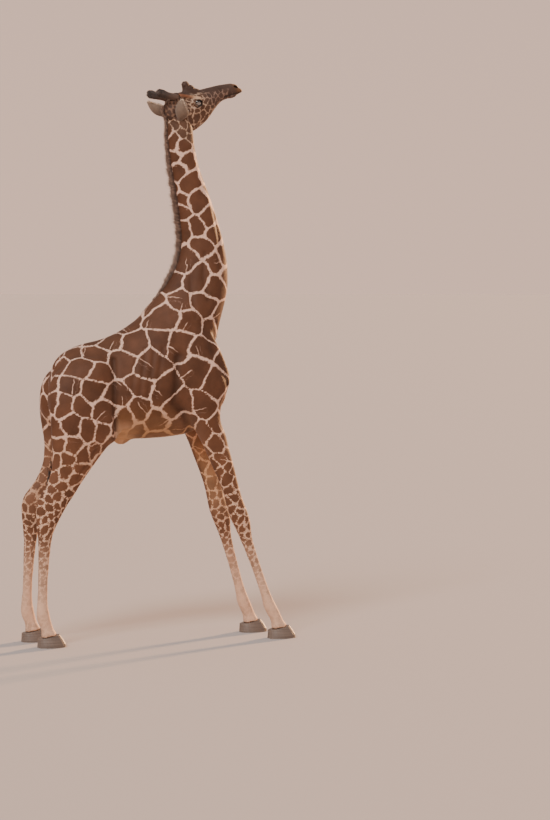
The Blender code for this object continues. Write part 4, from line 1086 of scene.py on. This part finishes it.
fringe_look = hair_look("ear_fringe", FRINGE_ROOT, FRINGE_TIP, 0.6, 0.25)
for side, sign in (("left", 1), ("right", -1)):
    cad_bm = bmesh.new()
    cad_bm.from_mesh(nodes["ear_" + side].data)
    bmesh.ops.remove_doubles(cad_bm, verts=cad_bm.verts, dist=1e-5)
    rim = [e for e in cad_bm.edges if len(e.link_faces) == 2 and e.calc_face_angle() > RIM_FOLD]
    starts, ends = (np.array([e.verts[k].co for e in rim]) for k in (0, 1))
    rim_normals = np.array([e.link_faces[0].normal + e.link_faces[1].normal for e in rim])
    cad_bm.free()
    mesh = refined("ear", "ear_" + side)
    points, normals = points_of(mesh), normals_of(mesh)
    face = EAR_FACES[side]
    face = np.array(head_turn @ Vector((face.x, sign * face.y, face.z)).normalized())
    base = EAR_ROOTS[side]
    base = np.array(head_frame @ Vector((base.x, sign * base.y, base.z)))
    far = np.linalg.norm(points - base, axis=1) / EAR_REACH
    toward_tip = unit(np.array([points[far.argmax()] - base]))
    across = np.cross(toward_tip[0], face)
    rim_spots = np.concatenate([(starts + ends) / 2, starts])
    near_rim = np.sqrt(((points[:, None] - rim_spots[None]) ** 2).sum(2).min(1))
    note(mesh, "cup", ramp(normals @ face, -0.15, 0.25))
    note(mesh, "along", np.clip(far, 0, 1))
    note(mesh, "rim", 1 - ramp(near_rim, 0.003, 0.011))
    put_points(mesh, curled(points, base, toward_tip[0], across, face))
    ear = add("ear_leaf_" + side, mesh, ear_look)
    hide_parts("ear_" + side)
    dice = np.random.default_rng(SEED + 40 + sign)
    chosen = dice.choice(len(rim), EAR_HAIRS)
    share = dice.uniform(0, 1, EAR_HAIRS)[:, None]
    roots = starts[chosen] * (1 - share) + ends[chosen] * share
    roots = curled(roots, base, toward_tip[0], across, face)
    away = unit(rim_normals[chosen])
    grow = away * 0.35 + toward_tip * 0.9 + face * 0.25 + dice.normal(0, 0.12, (EAR_HAIRS, 3))
    keep = np.linalg.norm(roots - base, axis=1) < 0.97 * EAR_REACH
    size = (dice.uniform(*FRINGE_LENGTHS, EAR_HAIRS)[keep], 0.0026, 0.0012)
    mesh, _ = tuft_mesh("fringe", roots[keep] - away[keep] * 0.001, grow[keep], away[keep], size,
                        -away[keep] * 0.2, [(0, 1, 1), (0.55, 0.8, 0.8)])
    add(f"ear_fringe_{side}", mesh, fringe_look)


# The eyes: large dark globes, wet, with a long level pupil in a brown ring. Two lids of thin skin
# lie on each globe, dark and bare at their rims, and the upper one carries long lashes.
OPENING = (0.0285, 0.0240)  # half the length and half the height between the lids
CORNER_SHARP = 0.30  # how much the lids draw together at the corners
LID_REACH = 0.0322  # where the lids' outer edge goes under the hide
LID_THICK = 0.0022
LID_RINGS, LID_POINTS = 5, 72
LASHES, LASH_LENGTHS = 110, (0.018, 0.030)
EYE_OUT, EYE_LONG = (0.06, 0.98, 0.12), (1, 0, -0.10)  # where it looks, and the way its opening runs
IRIS_EDGE = (0.0150, 0.0185)  # its brown ring ends softly between these radii
PUPIL_HALF = (0.0105, 0.0062)
EYE_BULGE = 0.0016  # the clear front stands out by this much
EYE_RADIUS = (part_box("eye_right")[1].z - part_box("eye_right")[0].z) / 2
EYE_DARK, EYE_BROWN, PUPIL_BLACK = (0.012, 0.008, 0.007), (0.060, 0.026, 0.012), (0.003, 0.003, 0.004)
LID_RIM, LID_FUR, LID_FLECK = (0.024, 0.015, 0.012), (0.460, 0.330, 0.250), (0.060, 0.035, 0.026)
LASH_BLACK = (0.012, 0.009, 0.008)
eye_look, eye_skin = shader("eyeball", rough=0.06)
eye_skin.inputs["Coat Weight"].default_value = 1.0
eye_skin.inputs["Coat Roughness"].default_value = 0.03
eye_skin.inputs["IOR"].default_value = 3.1
ring = mixed(eye_look, read(eye_look, "iris"), EYE_DARK, EYE_BROWN)
wire(eye_look, mixed(eye_look, read(eye_look, "pupil"), ring, PUPIL_BLACK), eye_skin.inputs["Base Color"])
lid_look, lid_skin = shader("lid", rough=0.5)
lid_colour = mixed(lid_look, reckon(lid_look, "POWER", read(lid_look, "along"), 1.1), LID_RIM, LID_FUR)
fleck = reckon(lid_look, "MULTIPLY", noise(lid_look, 250), 0.5)
wire(lid_look, mixed(lid_look, fleck, lid_colour, LID_FLECK), lid_skin.inputs["Base Color"])
bump = node(lid_look, "Bump", strength=0.5, distance=0.0008)
wire(lid_look, noise(lid_look, 500, 3.0), bump.inputs["Height"])
wire(lid_look, bump.outputs["Normal"], lid_skin.inputs["Normal"])
lash_look, _ = shader("lash", LASH_BLACK, 0.5)
for side, sign in (("left", 1), ("right", -1)):
    out = Vector((EYE_OUT[0], sign * EYE_OUT[1], EYE_OUT[2])).normalized()
    length = Vector(EYE_LONG)
    length = (length - out * out.dot(length)).normalized()
    height = Vector((0, 0, 1))
    height = (height - out * out.dot(height) - length * length.dot(height)).normalized()
    length, height, out = (head_turn @ v for v in (length, height, out))
    centre = eyes[side]
    bpy.ops.mesh.primitive_uv_sphere_add(segments=64, ring_count=40, radius=EYE_RADIUS)
    ball = bpy.context.object
    ball.name = "eyeball_" + side
    mesh = ball.data
    mesh.transform(Matrix((height, length, out)).transposed().to_4x4())
    points = points_of(mesh)
    a, b, c = (points @ np.array(v) for v in (length, height, out))
    bulge = EYE_BULGE * (1 - ramp(np.hypot(a, b), 0.006, 0.017)) * (c > 0)
    points = points * ((EYE_RADIUS - 0.0012 + bulge) / EYE_RADIUS)[:, None] + np.array(centre)
    put_points(mesh, points)
    note(mesh, "iris", 1 - ramp(np.hypot(a, b), *IRIS_EDGE))
    pupil = np.hypot(a / PUPIL_HALF[0], b / PUPIL_HALF[1])
    note(mesh, "pupil", (1 - ramp(pupil, 0.9, 1.1)) * (c > 0))
    mesh.materials.append(eye_look)
    mesh.shade_smooth()
    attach(ball, "root")
    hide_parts("eye_" + side)

    turns = np.arange(LID_POINTS) * 2 * math.pi / LID_POINTS
    open_x = OPENING[0] * np.cos(turns)
    open_y = OPENING[1] * np.sin(turns) * (1 - CORNER_SHARP * np.cos(turns) ** 2)
    outward = np.hypot(open_x, open_y)
    low_front = np.clip(np.cos(turns + 0.7), 0, 1)
    frame_of = np.array([length, height, out])
    rings, shares = [], []
    for lift, order in ((LID_THICK, range(LID_RINGS + 1)), (0.0002, range(LID_RINGS, -1, -1))):
        for j in order:
            reach = outward + (LID_REACH - outward) * j / LID_RINGS
            radius = EYE_RADIUS + lift * (1 + 0.6 * low_front)
            a, b = open_x / outward * reach, open_y / outward * reach
            rise = np.sqrt(radius ** 2 - reach ** 2)
            rings.append(np.stack([a, b, rise], 1) @ frame_of + np.array(centre))
            # painted shadow: below the eye's front the dark rim colour reaches further over the lid, where
            # the lashes shade it
            shares.append(j / LID_RINGS - 0.9 * low_front)
    lid = bpy.data.meshes.new("lid")
    count = len(rings)
    faces = []
    for j in range(count):
        here, beyond = LID_POINTS * j, LID_POINTS * ((j + 1) % count)
        for i in range(LID_POINTS):
            after = (i + 1) % LID_POINTS
            faces.append((here + i, here + after, beyond + after, beyond + i))
    lid.from_pydata(np.concatenate(rings).tolist(), [], faces)
    lid_bm = bmesh.new()
    lid_bm.from_mesh(lid)
    bmesh.ops.recalc_face_normals(lid_bm, faces=lid_bm.faces)
    lid_bm.to_mesh(lid)
    lid_bm.free()
    note(lid, "along", np.clip(np.concatenate(shares), 0, 1))
    add("lid_" + side, lid, lid_look)

    dice = np.random.default_rng(SEED + 50 + sign)
    turn = dice.uniform(0.08, 0.92, LASHES) * math.pi
    along = OPENING[0] * np.cos(turn)
    up = OPENING[1] * np.sin(turn) * (1 - CORNER_SHARP * np.cos(turn) ** 2)
    rise = np.sqrt(EYE_RADIUS ** 2 - along ** 2 - up ** 2) + 0.0012
    roots = np.stack([along, up, rise], 1) @ frame_of + np.array(centre)
    grow = np.stack([along * 16, np.full(LASHES, 0.25), np.full(LASHES, 1.0)], 1) @ frame_of
    grow = grow + dice.normal(0, 0.08, (LASHES, 3))
    mesh, _ = tuft_mesh("lash", roots, grow, np.broadcast_to(np.array(length), (LASHES, 3)),
                        (dice.uniform(*LASH_LENGTHS, LASHES), 0.0016, 0.0012),
                        np.broadcast_to(np.array(height) * -0.60, (LASHES, 3)),
                        [(-0.05, 1, 1), (0.35, 0.9, 0.9), (0.7, 0.6, 0.6)])
    add("lashes_" + side, mesh, lash_look)


# Short tufts all over the hide, lying with the coat: down the neck and legs, back along the
# trunk, and from the nose towards the nape. They carry the markings under their own roots.
BODY_TUFTS, BODY_TUFT = 15500, (0.016, 0.0058)  # how many, and a tuft's length and width
FACE_TUFTS, FACE_TUFT = 4200, (0.010, 0.0034)
TUFT_THICK = 0.0016


def marked(mesh, per, values):
    """Gives each lock the markings of the hide at its root."""
    for key, numbers in values.items():
        note(mesh, key, np.repeat(numbers, per, axis=0))


def lie_of(points, normals):
    """The way the coat lies at each point of the hide."""
    part = parts_of(points)
    down = np.array([-0.25, 0, -1.0])
    back = np.array([-1.0, 0, -0.45])
    nose = -np.array(head_turn.col[0]) + np.array([0, 0, -0.15])
    flow = blend(np.maximum(part["neck"], part["leg"]), back[None] * np.ones((len(points), 1)), down)
    flow = flow + (nose - flow) * part["head"][:, None]
    return unit(flow - normals * (flow * normals).sum(1, keepdims=True))


def hide_tufts(name, count, where, tuft, seed):
    """Tufts at random places of the hide; where says how thickly they grow at a place."""
    length, width = tuft
    dice = np.random.default_rng(seed)
    hide_mesh.calc_loop_triangles()
    corners = np.empty(len(hide_mesh.loop_triangles) * 3, int)
    hide_mesh.loop_triangles.foreach_get("vertices", corners)
    corners = corners.reshape(-1, 3)
    a, b, c = (hide_points[corners[:, k]] for k in range(3))
    area = np.linalg.norm(np.cross(b - a, c - a), axis=1)
    chance = area * where((a + b + c) / 3)
    pick = dice.choice(len(corners), count, p=chance / chance.sum())
    u, v = dice.uniform(0, 1, (2, count))
    flip = u + v > 1
    u, v = np.where(flip, 1 - u, u)[:, None], np.where(flip, 1 - v, v)[:, None]
    roots = a[pick] * (1 - u - v) + b[pick] * u + c[pick] * v
    normals = unit(hide_normals[corners[pick]].sum(1))
    lie = unit(lie_of(roots, normals) + dice.normal(0, 0.10, (count, 3)))
    low = parts_of(roots)["leg"]
    long = length * dice.uniform(0.7, 1.2, count) * (1 - 0.35 * low)
    grow = lie + normals * 0.20
    mesh, per = tuft_mesh(name, roots - normals * 0.0012, grow, np.cross(lie, normals),
                          (long, width * dice.uniform(0.7, 1.3, count), TUFT_THICK), -normals * 0.14,
                          [(0, 0.8, 1), (0.5, 1, 0.8)])
    marked(mesh, per, coat_notes(roots, normals))
    made = add(name, mesh, hide_look)
    # a tuft is lit as the hide beneath it is
    mesh.normals_split_custom_set_from_vertices(np.repeat(normals, per, axis=0).tolist())


def off_head(places):
    return 1 - parts_of(places)["head"]


def on_face(places):
    """Thickest round the jaw and cheeks, thin at the lips."""
    part = parts_of(places)
    return part["head"] * (1.02 - 0.6 * ramp(part["place"][:, 0], 0.45, 0.60))


hide_tufts("coat_body", BODY_TUFTS, off_head, BODY_TUFT, SEED + 60)
hide_tufts("coat_face", FACE_TUFTS, on_face, FACE_TUFT, SEED + 61)


# The hooves: two claws of dull horn on each foot, ringed by their growth. Their shape is that of
# the solids, which stay, and only the finish is given here.
HOOF_DARK, HOOF_PALE = (0.085, 0.060, 0.048), (0.230, 0.175, 0.140)
hoof_look, hoof_skin = shader("hoof_horn", rough=0.5)
rings = noise(hoof_look, 22, 3.0, (0.25, 0.25, 6))
wire(hoof_look, mixed(hoof_look, rings, HOOF_DARK, HOOF_PALE), hoof_skin.inputs["Base Color"])
bump = node(hoof_look, "Bump", strength=0.7, distance=0.003)
wire(hoof_look, noise(hoof_look, 30, 4.0, (0.3, 0.3, 5)), bump.inputs["Height"])
wire(hoof_look, bump.outputs["Normal"], hoof_skin.inputs["Normal"])
for name, piece in nodes.items():
    if name.startswith("hoof"):
        piece.data.materials.clear()
        piece.data.materials.append(hoof_look)
